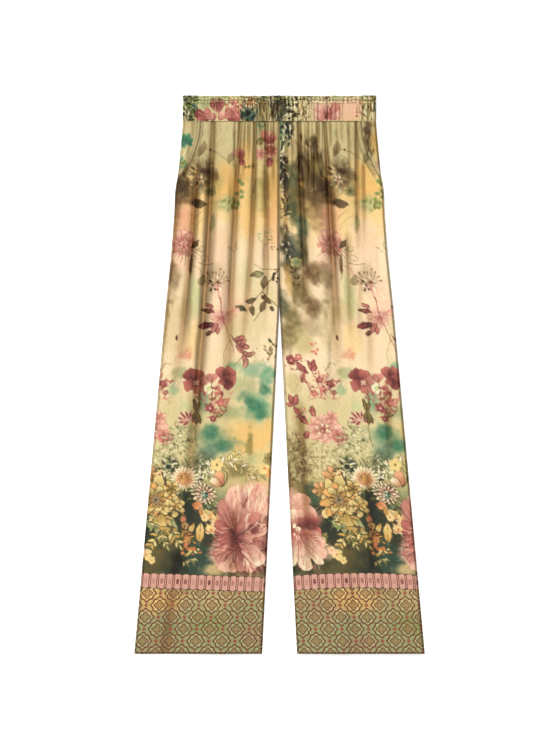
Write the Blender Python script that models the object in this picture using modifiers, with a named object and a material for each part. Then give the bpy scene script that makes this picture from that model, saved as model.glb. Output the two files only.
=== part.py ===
"""Pull-on trousers with wide, slightly flared legs, laid flat on a table with the front up.

Frame, in metres: +X to the wearer's left, +Y towards the waist, +Z up from the table.
The origin lies on the table, under the middle of the garment's length and width.
"Drop" is the distance down the garment from the top edge of the waistband.
"Out" is the distance from the garment's middle line, on either leg.
"""

import math
from collections import namedtuple

import bmesh
import bpy
from mathutils import Vector

# Sizes down the garment, as drops.
LENGTH = 1.060  # hem
BAND_DEPTH = 0.049  # seam under the waistband
FRILL_DEPTH = 0.010  # stitching below the frill, above the elastic
POCKET_LOW = 0.162  # lower end of the slanted pocket mouth, on the side seam
BAG_LOW = 0.300  # bottom of the pocket bag
CROTCH_FROM, CROTCH_TO = 0.310, 0.385  # between these the centre seam gives way to the inseams
LEGS_PART = 0.400  # the two legs lie apart below this

# Sizes across the garment, out from its middle line.
POCKET_TOP_OUT = 0.156  # upper end of the pocket mouth, and the seams in the waistband
MOUTH_CURVE = 2.0  # the mouth starts straight down and bends outwards; 1 would be a straight line
BAG_INNER_OUT = 0.075  # inner edge of the pocket bag
BAG_CORNER = 0.060  # radius of the pocket bag's lower corner
FACING_INSET = 0.0026  # how far the pocket lies inside the side line below its mouth
FACING_INSET_FROM = 0.110  # the drop where it starts to draw in
FACING_SINKS_FROM, FACING_SUNK_AT = 0.128, 0.152  # it goes down there, under the front's lower corner
HEM_INNER_OUT = 0.033  # inseam at the hem

# Thicknesses, and heights of upper faces above the table.
CLOTH = 0.0010
BAND_CLOTH = 0.0024  # gathered cloth on both sides of the elastic
SEAM_GAP = 0.0003
EDGE_FOOT = 0.0017  # a front panel's rolled edge ends here, just above the back panel
ROLL = 0.005  # width of the rolled edges
BAND_TOP = 0.0074
BAG_RISE = 0.0024  # pocket bag, under the front
FACING_RISE = 0.0033  # pocket facing, where it shows in the mouth
LOWEST = 0.0028  # the deepest trough of a front panel, where it lies on the back panel
LOWEST_ON_POCKET = 0.0048  # the same where the pocket lies between them

Station = namedtuple("Station", "drop out")
SIDE_LINE = (
    Station(0.000, 0.1835),
    Station(BAND_DEPTH, 0.1835),
    Station(0.100, 0.1880),
    Station(0.150, 0.1928),
    Station(0.166, 0.1962),
    Station(0.182, 0.1984),
    Station(0.225, 0.2000),
    Station(0.300, 0.2058),
    Station(0.410, 0.2170),
    Station(LENGTH, 0.2760),
)

Rise = namedtuple("Rise", "drop height")
FRONT_RISE = (  # upper face of the front panels between their folds
    Rise(BAND_DEPTH, 0.0060),
    Rise(0.200, 0.0056),
    Rise(0.330, 0.0050),
    Rise(0.700, 0.0045),
    Rise(LENGTH, 0.0042),
)

# The largest folds of the two front panels. A ridge has a positive height, a trough a negative one.
# The "across" columns say where a fold runs at its top, middle and low end, as a share of the leg's
# width there: 0 at the centre seam or inseam, 1 at the side seam. The spread is in metres.
Fold = namedtuple("Fold", "leg from_drop to_drop across_top across_mid across_low spread height")
FOLDS = (
    Fold("right", 0.049, 0.290, 0.045, 0.050, 0.060, 0.0065, 0.0016),
    Fold("right", 0.049, 0.300, 0.130, 0.135, 0.145, 0.0060, -0.0016),
    Fold("right", 0.049, 0.330, 0.195, 0.205, 0.225, 0.0065, 0.0016),
    Fold("right", 0.049, 0.300, 0.254, 0.265, 0.280, 0.0060, -0.0014),
    Fold("right", 0.049, 0.320, 0.320, 0.330, 0.345, 0.0070, 0.0018),
    Fold("right", 0.049, 0.270, 0.410, 0.405, 0.400, 0.0060, -0.0015),
    Fold("right", 0.080, 0.820, 0.555, 0.540, 0.420, 0.0200, 0.0025),
    Fold("right", 0.049, 0.900, 0.700, 0.690, 0.560, 0.0090, -0.0015),
    Fold("right", 0.060, 0.760, 0.775, 0.800, 0.720, 0.0150, 0.0023),
    Fold("right", 0.540, 1.060, 0.840, 0.820, 0.780, 0.0190, 0.0021),
    Fold("right", 0.560, 1.060, 0.730, 0.690, 0.645, 0.0100, -0.0012),
    Fold("right", 0.420, 1.060, 0.320, 0.300, 0.340, 0.0300, 0.0023),
    Fold("left", 0.049, 0.260, 0.045, 0.050, 0.060, 0.0060, 0.0014),
    Fold("left", 0.049, 0.300, 0.098, 0.105, 0.115, 0.0055, -0.0015),
    Fold("left", 0.049, 0.330, 0.155, 0.165, 0.180, 0.0065, 0.0018),
    Fold("left", 0.049, 0.300, 0.210, 0.222, 0.240, 0.0055, -0.0014),
    Fold("left", 0.049, 0.320, 0.270, 0.285, 0.300, 0.0065, 0.0016),
    Fold("left", 0.049, 0.250, 0.400, 0.390, 0.380, 0.0060, -0.0016),
    Fold("left", 0.080, 0.780, 0.440, 0.440, 0.400, 0.0150, 0.0024),
    Fold("left", 0.049, 0.900, 0.520, 0.520, 0.480, 0.0090, -0.0015),
    Fold("left", 0.100, 0.960, 0.600, 0.610, 0.560, 0.0190, 0.0024),
    Fold("left", 0.060, 0.420, 0.800, 0.810, 0.830, 0.0090, 0.0018),
    Fold("left", 0.420, 1.060, 0.780, 0.740, 0.700, 0.0260, 0.0022),
    Fold("left", 0.480, 1.060, 0.200, 0.220, 0.260, 0.0240, 0.0018),
)
FOLD_START = 0.18  # share of its length over which a fold rises to its full height
FOLD_START_HEIGHT = 0.45  # share of the full height at its upper end, where that is at the waistband
FOLD_FADE = 0.45  # share of its length over which a fold dies away, unless it reaches the hem

# Rows of cells down a sheet: more of them where the folds, the crotch and the pocket are.
Zone = namedtuple("Zone", "to_drop rows")
FRONT_ZONES = (
    Zone(0.140, 4),
    Zone(POCKET_LOW, 4),
    Zone(0.300, 4),
    Zone(LEGS_PART, 5),
    Zone(LENGTH, 7),
)
POCKET_ZONES = (
    Zone(FACING_SINKS_FROM, 3),
    Zone(FACING_SUNK_AT, 2),
    Zone(POCKET_LOW, 1),
    Zone(BAG_LOW - BAG_CORNER, 2),
    Zone(BAG_LOW, 3),
)
FRONT_CELLS = 27  # across a front panel between its rolled edges
POCKET_CELLS = 7
ROLL_CELLS = 4

# The waistband from its top edge down: how far its face stands off the level of BAND_TOP.
BandRow = namedtuple("BandRow", "drop off")
BAND_ROWS = (
    BandRow(0.0000, -0.0005),
    BandRow(0.5 * FRILL_DEPTH, 0.0000),
    BandRow(FRILL_DEPTH, -0.0009),
    BandRow(0.6 * BAND_DEPTH, 0.0000),
    BandRow(BAND_DEPTH - SEAM_GAP / 2, -0.0006),
)
BAND_WAVE = 0.0005  # height of the waves that the elastic draws up
BAND_WAVES = 15  # from seam to seam
CELLS_A_WAVE = 3
BAND_TURN_CELLS = 8  # round each side
BAND_BACK_CELLS = 12

SIDES = {"right": -1, "left": 1}  # the wearer's sides, and the way X points there

LEG_COLOUR = (0.62, 0.52, 0.30, 1)
BAND_COLOUR = (0.50, 0.40, 0.27, 1)
POCKET_COLOUR = (0.66, 0.58, 0.38, 1)
SATIN_ROUGHNESS = 0.42


def clear_scene():
    for obj in list(bpy.data.objects):
        bpy.data.objects.remove(obj)


def mix(low, high, share):
    return low + (high - low) * share


def ease(share):
    """0 to 1 with a level start and end."""
    share = min(1.0, max(0.0, share))
    return share * share * (3 - 2 * share)


def read(table, drop):
    """A table's second column at this drop, on straight lines between its rows."""
    for upper, lower in zip(table, table[1:]):
        if drop <= lower[0]:
            share = max(0.0, (drop - upper[0]) / (lower[0] - upper[0]))
            return mix(upper[1], lower[1], share)
    return table[-1][1]


def side_line(drop):
    return read(SIDE_LINE, drop)


def inner_line(drop):
    """The centre seam, and below it the inseam."""
    apart = max(0.0, drop - LEGS_PART) / (LENGTH - LEGS_PART)
    return SEAM_GAP / 2 + HEM_INNER_OUT * apart


def pocket_mouth(drop):
    """The slanted free edge of a front panel."""
    share = max(0.0, drop - BAND_DEPTH) / (POCKET_LOW - BAND_DEPTH)
    return mix(POCKET_TOP_OUT, side_line(POCKET_LOW), share**MOUTH_CURVE)


def front_edge(drop):
    return pocket_mouth(drop) if drop < POCKET_LOW else side_line(drop)


def fold_line(fold, drop):
    """Where a fold runs at this drop, as a share across the leg."""
    share = (drop - fold.from_drop) / (fold.to_drop - fold.from_drop)
    if share < 0.5:
        return mix(fold.across_top, fold.across_mid, ease(2 * share))
    return mix(fold.across_mid, fold.across_low, ease(2 * share - 1))


def fold_height(leg, out, drop):
    """Sum of the folds at a place."""
    total = 0.0
    for fold in FOLDS:
        if fold.leg != leg or not fold.from_drop <= drop <= fold.to_drop:
            continue
        length = fold.to_drop - fold.from_drop
        first = FOLD_START_HEIGHT if fold.from_drop <= BAND_DEPTH else 0.0
        starts = mix(first, 1.0, ease((drop - fold.from_drop) / (FOLD_START * length)))
        fades = ease((fold.to_drop - drop) / (FOLD_FADE * length)) if fold.to_drop < LENGTH else 1.0
        away = out - mix(inner_line(drop), side_line(drop), fold_line(fold, drop))
        total += fold.height * starts * fades * math.exp(-((away / fold.spread) ** 2))
    return total


def lowest_height(out, drop):
    """How low a front panel's upper face may come: over the pocket it stays higher."""
    over_pocket = ease((out - BAG_INNER_OUT + 0.020) / 0.015) * ease((BAG_LOW + 0.030 - drop) / 0.025)
    return mix(LOWEST, LOWEST_ON_POCKET, over_pocket)


def roll(distance):
    """0 at a rolled edge, rising round a quarter circle to 1 where the cloth lies level."""
    short = 1 - min(1.0, max(0.0, distance / ROLL))
    return math.sqrt(max(0.0, 1 - short * short))


def front_height(leg, out, drop):
    """Upper face of a front panel: level at the centre seam, rolled under at the inseam and side."""
    level = max(lowest_height(out, drop), read(FRONT_RISE, drop) + fold_height(leg, out, drop))
    turned_under = ease((drop - CROTCH_FROM) / (CROTCH_TO - CROTCH_FROM))
    at_inner = mix(1.0, roll(out - inner_line(drop)), turned_under)
    return EDGE_FOOT + (level - EDGE_FOOT) * at_inner * roll(side_line(drop) - out)


def bag_inner(drop):
    """Inner edge of the pocket bag, with a round lower corner."""
    into_corner = max(0.0, (drop - BAG_LOW + BAG_CORNER) / BAG_CORNER)
    return BAG_INNER_OUT + BAG_CORNER * (1 - math.sqrt(max(0.0, 1 - into_corner**2)))


def facing_edge(drop):
    """Outer edge of the pocket: on the side line where it shows, inside the front's roll below."""
    return side_line(drop) - FACING_INSET * ease((drop - FACING_INSET_FROM) / 0.030)


def pocket_height(out, drop):
    """Upper face of the pocket: its facing is raised in the mouth, and the bag lies low inside."""
    inside_mouth = ease((pocket_mouth(drop) - out - 0.004) / 0.020)
    below_mouth = ease((drop - FACING_SINKS_FROM) / (FACING_SUNK_AT - FACING_SINKS_FROM))
    level = mix(FACING_RISE, BAG_RISE, max(inside_mouth, below_mouth))
    return BAG_RISE + (level - BAG_RISE) * roll(facing_edge(drop) - out)


def roll_steps():
    """Distances from a rolled edge, closer together where it is steep."""
    return [ROLL * (1 - math.cos(math.pi / 2 * k / ROLL_CELLS)) for k in range(ROLL_CELLS + 1)]


def even_steps(start, end, cells):
    return [mix(start, end, k / cells) for k in range(cells + 1)]


def drops_down(start, zones):
    drops = [start]
    for zone in zones:
        drops += even_steps(drops[-1], zone.to_drop, zone.rows)[1:]
    return drops


def at(out, drop, height):
    return Vector((out, LENGTH / 2 - drop, height))


def satin(name, colour):
    made = bpy.data.materials.new(name)
    made.use_nodes = True
    shader = made.node_tree.nodes["Principled BSDF"]
    shader.inputs["Base Color"].default_value = colour
    shader.inputs["Roughness"].default_value = SATIN_ROUGHNESS
    shader.inputs["Metallic"].default_value = 0.0
    return made


def cloth_sheet(name, lines, thickness, finish, collection):
    """A grid moved onto rows of points, and thickened inwards from that outer face.

    The rows run from the hem end to the waist end. Each runs so that its own direction
    crossed with +Y points out of the cloth.
    """
    rows, columns = len(lines) - 1, len(lines[0]) - 1
    grid = bmesh.new()
    bmesh.ops.create_grid(grid, x_segments=columns, y_segments=rows, size=0.5)
    for vert in grid.verts:
        row, column = round((vert.co.y + 0.5) * rows), round((vert.co.x + 0.5) * columns)
        vert.co = lines[row][column]
    mesh = bpy.data.meshes.new(name)
    grid.to_mesh(mesh)
    grid.free()
    mesh.shade_smooth()
    mesh.materials.append(finish)
    obj = bpy.data.objects.new(name, mesh)
    collection.objects.link(obj)
    wall = obj.modifiers.new("wall", "SOLIDIFY")
    wall.thickness = thickness
    wall.offset = -1
    wall.use_even_offset = True
    return obj


def flat_panel(name, outline, thickness, finish, collection):
    """A level panel lying on the table, from its outline's corners."""
    curve = bpy.data.curves.new(name, "CURVE")
    curve.dimensions = "2D"
    curve.fill_mode = "BOTH"
    curve.extrude = thickness / 2
    curve.materials.append(finish)
    spline = curve.splines.new("POLY")
    spline.points.add(len(outline) - 1)
    for point, corner in zip(spline.points, outline):
        point.co = (corner.x, corner.y, 0, 1)
    spline.use_cyclic_u = True
    obj = bpy.data.objects.new(name, curve)
    obj.location.z = thickness / 2
    collection.objects.link(obj)
    return obj


def leg_sheet(name, leg, drops, outs_at, height_at, finish, collection):
    """A sheet on one leg, from the places out at each drop and the height at each place."""
    side = SIDES[leg]
    lines = []
    for drop in reversed(drops):
        line = [at(side * out, drop, height_at(out, drop)) for out in outs_at(drop)]
        lines.append(line if side > 0 else line[::-1])
    return cloth_sheet(f"{name}_{leg}", lines, CLOTH, finish, collection)


def front_panel(leg, finish, collection):
    def outs_at(drop):
        inner, outer = inner_line(drop), front_edge(drop)
        middle = even_steps(inner + ROLL, outer - ROLL, FRONT_CELLS)[1:-1]
        steps = roll_steps()
        return [inner + s for s in steps] + middle + [outer - s for s in reversed(steps)]

    def height_at(out, drop):
        return front_height(leg, out, drop)

    drops = drops_down(BAND_DEPTH + SEAM_GAP / 2, FRONT_ZONES)
    leg_sheet("front", leg, drops, outs_at, height_at, finish, collection)


def pocket(leg, finish, collection):
    """Facing and bag in one piece, with its top edge under the waistband's seam."""

    def outs_at(drop):
        edge = facing_edge(drop)
        level = even_steps(bag_inner(drop), edge - ROLL, POCKET_CELLS)[:-1]
        return level + [edge - s for s in reversed(roll_steps())]

    drops = drops_down(BAND_DEPTH + SEAM_GAP / 2, POCKET_ZONES)
    leg_sheet("pocket", leg, drops, outs_at, pocket_height, finish, collection)


def back_panel(leg, finish, collection):
    top = BAND_DEPTH + SEAM_GAP / 2
    side_corners = [(side_line(drop), drop) for drop in [top] + [s.drop for s in SIDE_LINE[2:]]]
    inner_corners = [(inner_line(drop), drop) for drop in (LENGTH, LEGS_PART, top)]
    outline = [at(SIDES[leg] * out, drop, 0) for out, drop in side_corners + inner_corners]
    flat_panel(f"back_{leg}", outline, CLOTH, finish, collection)


def waistband_front(finish, collection):
    half = POCKET_TOP_OUT - SEAM_GAP / 2
    cells = BAND_WAVES * CELLS_A_WAVE
    lines = []
    for row in reversed(BAND_ROWS):
        line = []
        for k, out in enumerate(even_steps(-half, half, cells)):
            from_seam = ease(min(k, cells - k) / CELLS_A_WAVE)
            wave = BAND_WAVE * from_seam * math.sin(2 * math.pi * k / CELLS_A_WAVE)
            line.append(at(out, row.drop, BAND_TOP + row.off + wave))
        lines.append(line)
    cloth_sheet("waistband_front", lines, BAND_CLOTH, finish, collection)


def waistband_back(finish, collection):
    """Flat on the table under the front, round both sides, and up to the seams on the front."""
    seam = POCKET_TOP_OUT + SEAM_GAP / 2
    angles = even_steps(0, math.pi, BAND_TURN_CELLS)
    lines = []
    for row in reversed(BAND_ROWS):
        top = BAND_TOP + row.off
        radius = top / 2
        centre = side_line(row.drop) - radius
        left = [(centre + radius * math.sin(a), radius + radius * math.cos(a)) for a in angles]
        right = [(-out, height) for out, height in reversed(left)]
        under = [(out, 0.0) for out in even_steps(centre, -centre, BAND_BACK_CELLS)[1:-1]]
        ring = [(seam, top)] + left + under + right + [(-seam, top)]
        lines.append([at(out, row.drop, height) for out, height in ring])
    cloth_sheet("waistband_back", lines, BAND_CLOTH, finish, collection)


def main():
    clear_scene()
    collection = bpy.data.collections.new("flared_trousers")
    bpy.context.scene.collection.children.link(collection)
    leg_cloth = satin("leg_cloth", LEG_COLOUR)
    band_cloth = satin("waistband_cloth", BAND_COLOUR)
    pocket_cloth = satin("pocket_cloth", POCKET_COLOUR)
    for leg in SIDES:
        front_panel(leg, leg_cloth, collection)
        back_panel(leg, leg_cloth, collection)
        pocket(leg, pocket_cloth, collection)
    waistband_front(band_cloth, collection)
    waistband_back(band_cloth, collection)


main()
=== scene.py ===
"""The looks of pull-on trousers with wide flared legs, laid flat on a table with the front up.

Frame, in metres: +X to the wearer's left, +Y towards the waist, +Z up from the table.
"Drop" is the distance down from the waistband's top edge, "out" the distance from the middle
line. The print is drawn in millimetres, and its marks are turned clockwise from the waist.
"""
import math
from collections import namedtuple

import bpy
import numpy as np
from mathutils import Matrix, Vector


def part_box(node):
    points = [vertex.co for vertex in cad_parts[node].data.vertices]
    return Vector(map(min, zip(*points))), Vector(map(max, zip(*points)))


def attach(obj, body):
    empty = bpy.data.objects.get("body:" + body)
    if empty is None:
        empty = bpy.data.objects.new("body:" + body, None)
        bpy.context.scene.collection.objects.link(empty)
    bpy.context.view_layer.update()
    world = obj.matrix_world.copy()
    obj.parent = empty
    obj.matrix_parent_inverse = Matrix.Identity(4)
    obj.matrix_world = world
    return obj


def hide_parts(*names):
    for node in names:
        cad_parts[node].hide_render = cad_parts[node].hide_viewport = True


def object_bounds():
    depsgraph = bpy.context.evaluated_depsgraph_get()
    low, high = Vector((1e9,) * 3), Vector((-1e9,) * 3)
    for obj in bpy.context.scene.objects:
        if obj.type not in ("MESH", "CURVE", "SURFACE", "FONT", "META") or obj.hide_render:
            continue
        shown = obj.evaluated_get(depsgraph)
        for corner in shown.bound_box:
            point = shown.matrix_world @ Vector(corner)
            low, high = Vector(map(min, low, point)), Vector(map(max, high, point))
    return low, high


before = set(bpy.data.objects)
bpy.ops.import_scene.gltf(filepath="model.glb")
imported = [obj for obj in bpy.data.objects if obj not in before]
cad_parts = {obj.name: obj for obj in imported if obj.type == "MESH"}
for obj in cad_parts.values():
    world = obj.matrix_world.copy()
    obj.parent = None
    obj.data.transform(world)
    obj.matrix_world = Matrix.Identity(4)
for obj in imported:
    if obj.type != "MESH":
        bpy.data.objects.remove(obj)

SIDES = {"right": -1, "left": 1}  # the wearer's sides, and the way X points there
cad_low, cad_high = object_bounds()

# ---------------------------------------------------------------------------------------------
# Sizes, in metres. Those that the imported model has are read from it.
# ---------------------------------------------------------------------------------------------
WAIST_Y = cad_high.y
LENGTH = cad_high.y - cad_low.y
BAND_DEPTH = WAIST_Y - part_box("waistband_front")[0].y
SEAM_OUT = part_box("waistband_front")[1].x  # where the front of the waistband meets its back
BAND_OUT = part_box("waistband_back")[1].x
BAG_LOW = WAIST_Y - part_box("pocket_left")[0].y
BAG_INNER_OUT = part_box("pocket_left")[0].x
BAG_CORNER = 0.060
POCKET_LOW = 0.162  # lower end of the pocket mouth, on the side seam
MOUTH_CURVE = 2.0  # the mouth starts straight down and bends outwards
CROTCH_FROM, CROTCH_TO = 0.310, 0.385  # between these the centre seam gives way to the inseams
FRILL_DEPTH = 0.0115  # stitching below the frill
UNDER_BAND = 0.004  # how far the panels and pockets reach up under the waistband

CLOTH = 0.0008
TABLE_GAP = 0.0003  # least height of any cloth
EDGE_FOOT = 0.0014  # height where a front panel's rolled edge meets the back panel
ROLL = 0.005  # width of the rolled edges
LOWEST, LOWEST_ON_POCKET = 0.0018, 0.0030  # how deep a trough may come, bare and over a pocket
LOWEST_SOFT = 0.0004  # how softly a trough levels out there
BAND_TOP = 0.0072
FACING_TOP = 0.0050
BAG_TOP = 0.0020

Rise = namedtuple("Rise", "drop height")
FRONT_RISE = (  # upper face of the front panels between their folds
    Rise(BAND_DEPTH, 0.0062),
    Rise(0.120, 0.0076),
    Rise(0.190, 0.0084),
    Rise(0.360, 0.0080),
    Rise(0.520, 0.0070),
    Rise(0.760, 0.0060),
    Rise(LENGTH, 0.0046),
)

# Folds of the front panels. A ridge has a positive height, a trough a negative one. The "out"
# columns say how far from the middle line a fold runs at its top, middle and low end, and the
# "wide" ones how far it reaches to either side at its top and low end.
Fold = namedtuple("Fold", "from_drop to_drop out_top out_mid out_low wide_top wide_low height")
FOLDS = {
    "right": (
        # troughs, from the middle outwards
        Fold(0.049, 0.200, 0.0125, 0.0125, 0.0130, 0.0049, 0.0055, -0.00154),
        Fold(0.049, 0.480, 0.0265, 0.0250, 0.0300, 0.0059, 0.0099, -0.00210),
        Fold(0.049, 0.135, 0.0355, 0.0340, 0.0330, 0.0044, 0.0044, -0.00112),
        Fold(0.049, 0.560, 0.0465, 0.0555, 0.0800, 0.0059, 0.0132, -0.00238),
        Fold(0.049, 0.120, 0.0570, 0.0575, 0.0580, 0.0044, 0.0044, -0.00126),
        Fold(0.049, 0.190, 0.0665, 0.0685, 0.0700, 0.0049, 0.0055, -0.00154),
        Fold(0.049, 0.700, 0.0745, 0.0920, 0.1060, 0.0059, 0.0165, -0.00252),
        Fold(0.049, 0.980, 0.1260, 0.1520, 0.2000, 0.0074, 0.0187, -0.00322),
        Fold(0.090, 0.640, 0.1570, 0.1750, 0.2160, 0.0074, 0.0143, -0.00266),
        Fold(0.165, 0.620, 0.1880, 0.2120, 0.2370, 0.0064, 0.0099, -0.00126),
        Fold(0.780, 0.980, 0.0860, 0.0880, 0.0900, 0.0124, 0.0132, -0.00154),
        Fold(0.860, 1.060, 0.1900, 0.2050, 0.2180, 0.0124, 0.0143, -0.00196),
        # ridges
        Fold(0.080, 0.800, 0.1000, 0.1260, 0.1600, 0.0134, 0.0220, 0.0018),
        Fold(0.100, 0.880, 0.1420, 0.1680, 0.2150, 0.0114, 0.0176, 0.0018),
        Fold(0.400, 1.060, 0.0720, 0.0900, 0.1130, 0.0254, 0.0286, 0.0022),
    ),
    "left": (
        # troughs, from the middle outwards
        Fold(0.060, 0.420, 0.0150, 0.0120, 0.0150, 0.0054, 0.0088, -0.00168),
        Fold(0.049, 0.520, 0.0370, 0.0460, 0.0580, 0.0059, 0.0143, -0.00280),
        Fold(0.049, 0.210, 0.0535, 0.0530, 0.0560, 0.0049, 0.0055, -0.00168),
        Fold(0.100, 0.210, 0.0630, 0.0635, 0.0640, 0.0049, 0.0055, -0.00154),
        Fold(0.049, 0.150, 0.0735, 0.0735, 0.0740, 0.0049, 0.0055, -0.00168),
        Fold(0.049, 0.600, 0.0860, 0.1020, 0.1180, 0.0059, 0.0165, -0.00294),
        Fold(0.250, 0.500, 0.1300, 0.1340, 0.1390, 0.0104, 0.0132, -0.00126),
        Fold(0.330, 0.500, 0.1530, 0.1540, 0.1550, 0.0094, 0.0099, -0.00084),
        Fold(0.400, 0.560, 0.1710, 0.1720, 0.1740, 0.0104, 0.0110, -0.00098),
        Fold(0.049, 0.330, 0.1460, 0.1480, 0.1510, 0.0054, 0.0088, -0.00210),
        Fold(0.110, 0.300, 0.1580, 0.1600, 0.1620, 0.0049, 0.0066, -0.00168),
        Fold(0.060, 0.140, 0.1660, 0.1665, 0.1670, 0.0049, 0.00495, -0.00126),
        Fold(0.560, 0.980, 0.0360, 0.0500, 0.0620, 0.0114, 0.0132, -0.00210),
        Fold(0.540, 0.720, 0.2050, 0.2080, 0.2120, 0.0094, 0.0110, -0.00168),
        Fold(0.700, 1.000, 0.1680, 0.1760, 0.1900, 0.0114, 0.0143, -0.00196),
        # ridges
        Fold(0.060, 0.700, 0.0640, 0.0760, 0.0860, 0.0114, 0.0198, 0.0018),
        Fold(0.100, 0.740, 0.1120, 0.1240, 0.1420, 0.0134, 0.0220, 0.0018),
        Fold(0.480, 1.060, 0.0740, 0.0920, 0.1130, 0.0254, 0.0286, 0.0022),
    ),
}
SMALL_PLEATS = {"right": (17, 0.090), "left": (29, 0.140)}  # a leg's seed, and how far out they lie
FOLD_START = 0.15  # share of its length over which a fold rises to its full height
FOLD_START_HEIGHT = 0.75  # share of the full height at its upper end, where that is at the band
FOLD_FADE = 0.45  # share of its length over which a fold dies away, unless it reaches the hem
LOW_END_DEPTH = 0.65  # a trough's depth at its low end, against that at its top
TROUGH_FALL = 1.5  # how fast a trough's sides fall
TROUGH_ROUND = 0.25  # share of its width that is round at the bottom
PAINTED_SHADE_FULL_DEPTH = 0.00224  # depth of a trough at which the shade painted into its cloth is darkest
PAINTED_SHADE_RGB = (0.27, 0.36, 0.48)  # painted shade: how much of its red, green and blue the print loses there
PAINTED_SHADE_CORE, PAINTED_CORE_WIDE, PAINTED_SHADE_WIDE = 0.75, 0.55, 1.3  # the painted shade's dark core: its share and width, and the width of the whole painted shade

FRAME_HEIGHT = 1.4174  # what the picture takes in at the table, from its top to its bottom
CAMERA_OVER = (0.00095, 0.00275)
CAMERA_HEIGHT = 6.0
SENSOR = 36.0


# ---------------------------------------------------------------------------------------------
# Small tools
# ---------------------------------------------------------------------------------------------
def mix(low, high, share):
    return low + (high - low) * share


def ease(share):
    """0 to 1 with a level start and end."""
    share = np.clip(share, 0.0, 1.0)
    return share * share * (3 - 2 * share)


def swell(away, spread):
    return np.exp(-((away / spread) ** 2))


def cloudy(u, v, seed):
    """Smooth noise from -1 to 1, with about one swell to a unit."""
    size = 128
    lattice = np.random.default_rng(seed).uniform(-1, 1, (size, size))
    u, v = np.asarray(u, float), np.asarray(v, float)
    left, low = np.floor(u).astype(int), np.floor(v).astype(int)
    across, up = ease(u - left), ease(v - low)
    near = mix(lattice[left % size, low % size], lattice[(left + 1) % size, low % size], across)
    far = mix(lattice[left % size, (low + 1) % size], lattice[(left + 1) % size, (low + 1) % size], across)
    return mix(near, far, up)


def spaced(start, end, cells):
    return np.linspace(start, end, cells + 1)


def smooth_line(table_drop, table_out, soften):
    """A function of drop through the table's rows, with its corners softened."""
    drops = np.arange(-0.050, LENGTH + 0.050, 0.001)
    outs = np.interp(drops, table_drop, table_out)
    reach = np.arange(-3 * soften, 3 * soften, 0.001)
    weights = swell(reach, soften)
    padded = np.pad(outs, len(reach), mode="edge")
    softened = np.convolve(padded, weights / weights.sum(), mode="same")[len(reach):-len(reach)]
    return lambda drop: np.interp(drop, drops, softened)


def panel_lines():
    """The side line and the inner line of a leg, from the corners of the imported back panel."""
    points = [v.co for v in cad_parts["back_left"].data.vertices]
    corners = {(round(WAIST_Y - p.y, 5), round(p.x, 5)) for p in points}
    side = sorted(corner for corner in corners if corner[1] > 0.1)
    inner = sorted(corner for corner in corners if corner[1] < 0.05)
    return smooth_line(*zip(*side), 0.006), smooth_line(*zip(*inner), 0.004)


side_line, inner_line = panel_lines()
front_rise = smooth_line([row.drop for row in FRONT_RISE], [row.height for row in FRONT_RISE], 0.020)


def pocket_mouth(drop):
    """The slanted free edge of a front panel."""
    share = np.clip((drop - BAND_DEPTH) / (POCKET_LOW - BAND_DEPTH), 0, 1)
    return mix(SEAM_OUT, float(side_line(POCKET_LOW)), share**MOUTH_CURVE)


def front_edge(drop):
    return np.where(drop < POCKET_LOW, pocket_mouth(drop), side_line(drop))


def roll(distance):
    """0 at a rolled edge, rising round a quarter circle to 1 where the cloth lies level."""
    short = 1 - np.clip(distance / ROLL, 0, 1)
    return np.sqrt(np.clip(1 - short * short, 0, 1))


# ---------------------------------------------------------------------------------------------
# The print's colours, as they look in even light
# ---------------------------------------------------------------------------------------------
PALETTE = {
    "cream": (236, 222, 188),
    "sand": (230, 208, 172),
    "pale khaki": (208, 194, 146),
    "khaki": (200, 182, 132),
    "khaki grey": (172, 154, 116),
    "ochre": (230, 188, 116),
    "pale ochre": (232, 202, 142),
    "orange ochre": (228, 176, 108),
    "gold": (204, 164, 92),
    "pale gold": (226, 202, 138),
    "orange": (198, 128, 76),
    "olive": (146, 132, 72),
    "pale olive": (190, 176, 120),
    "olive brown": (122, 106, 62),
    "brown": (112, 86, 50),
    "umber": (70, 50, 28),
    "grey brown": (138, 116, 80),
    "forest": (52, 60, 40),
    "moss": (78, 84, 54),
    "dark moss": (66, 70, 46),
    "black green": (50, 58, 48),
    "sage": (166, 170, 122),
    "pale green": (198, 200, 148),
    "leaf green": (122, 142, 64),
    "teal": (106, 158, 122),
    "deep teal": (72, 124, 94),
    "blue teal": (108, 142, 110),
    "grey teal": (104, 128, 104),
    "dark teal": (66, 92, 76),
    "peach": (228, 178, 132),
    "pale pink": (232, 190, 164),
    "pink": (216, 148, 130),
    "rose": (194, 120, 106),
    "plum": (152, 84, 78),
    "dark plum": (106, 56, 52),
    "rust": (112, 54, 38),
    "coral": (212, 138, 106),
    "brick": (150, 78, 58),
    "dusty pink": (196, 140, 122),
    "faded pink": (222, 178, 156),
}


def shade(name):
    return np.array(PALETTE[name]) / 255.0


EDGE_SOFT, LINE_SOFT = 1.5, 1.3  # mm over which the edges of marks and of drawn lines fade
MOST_WANDER = 3.6  # mm that a petal's edge may wander
OUTLINE_COVER, RIB_COVER = 0.8, 0.7
PETAL_WIDEST = 0.62  # where a flower's petals are widest, as a share of their length


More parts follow.
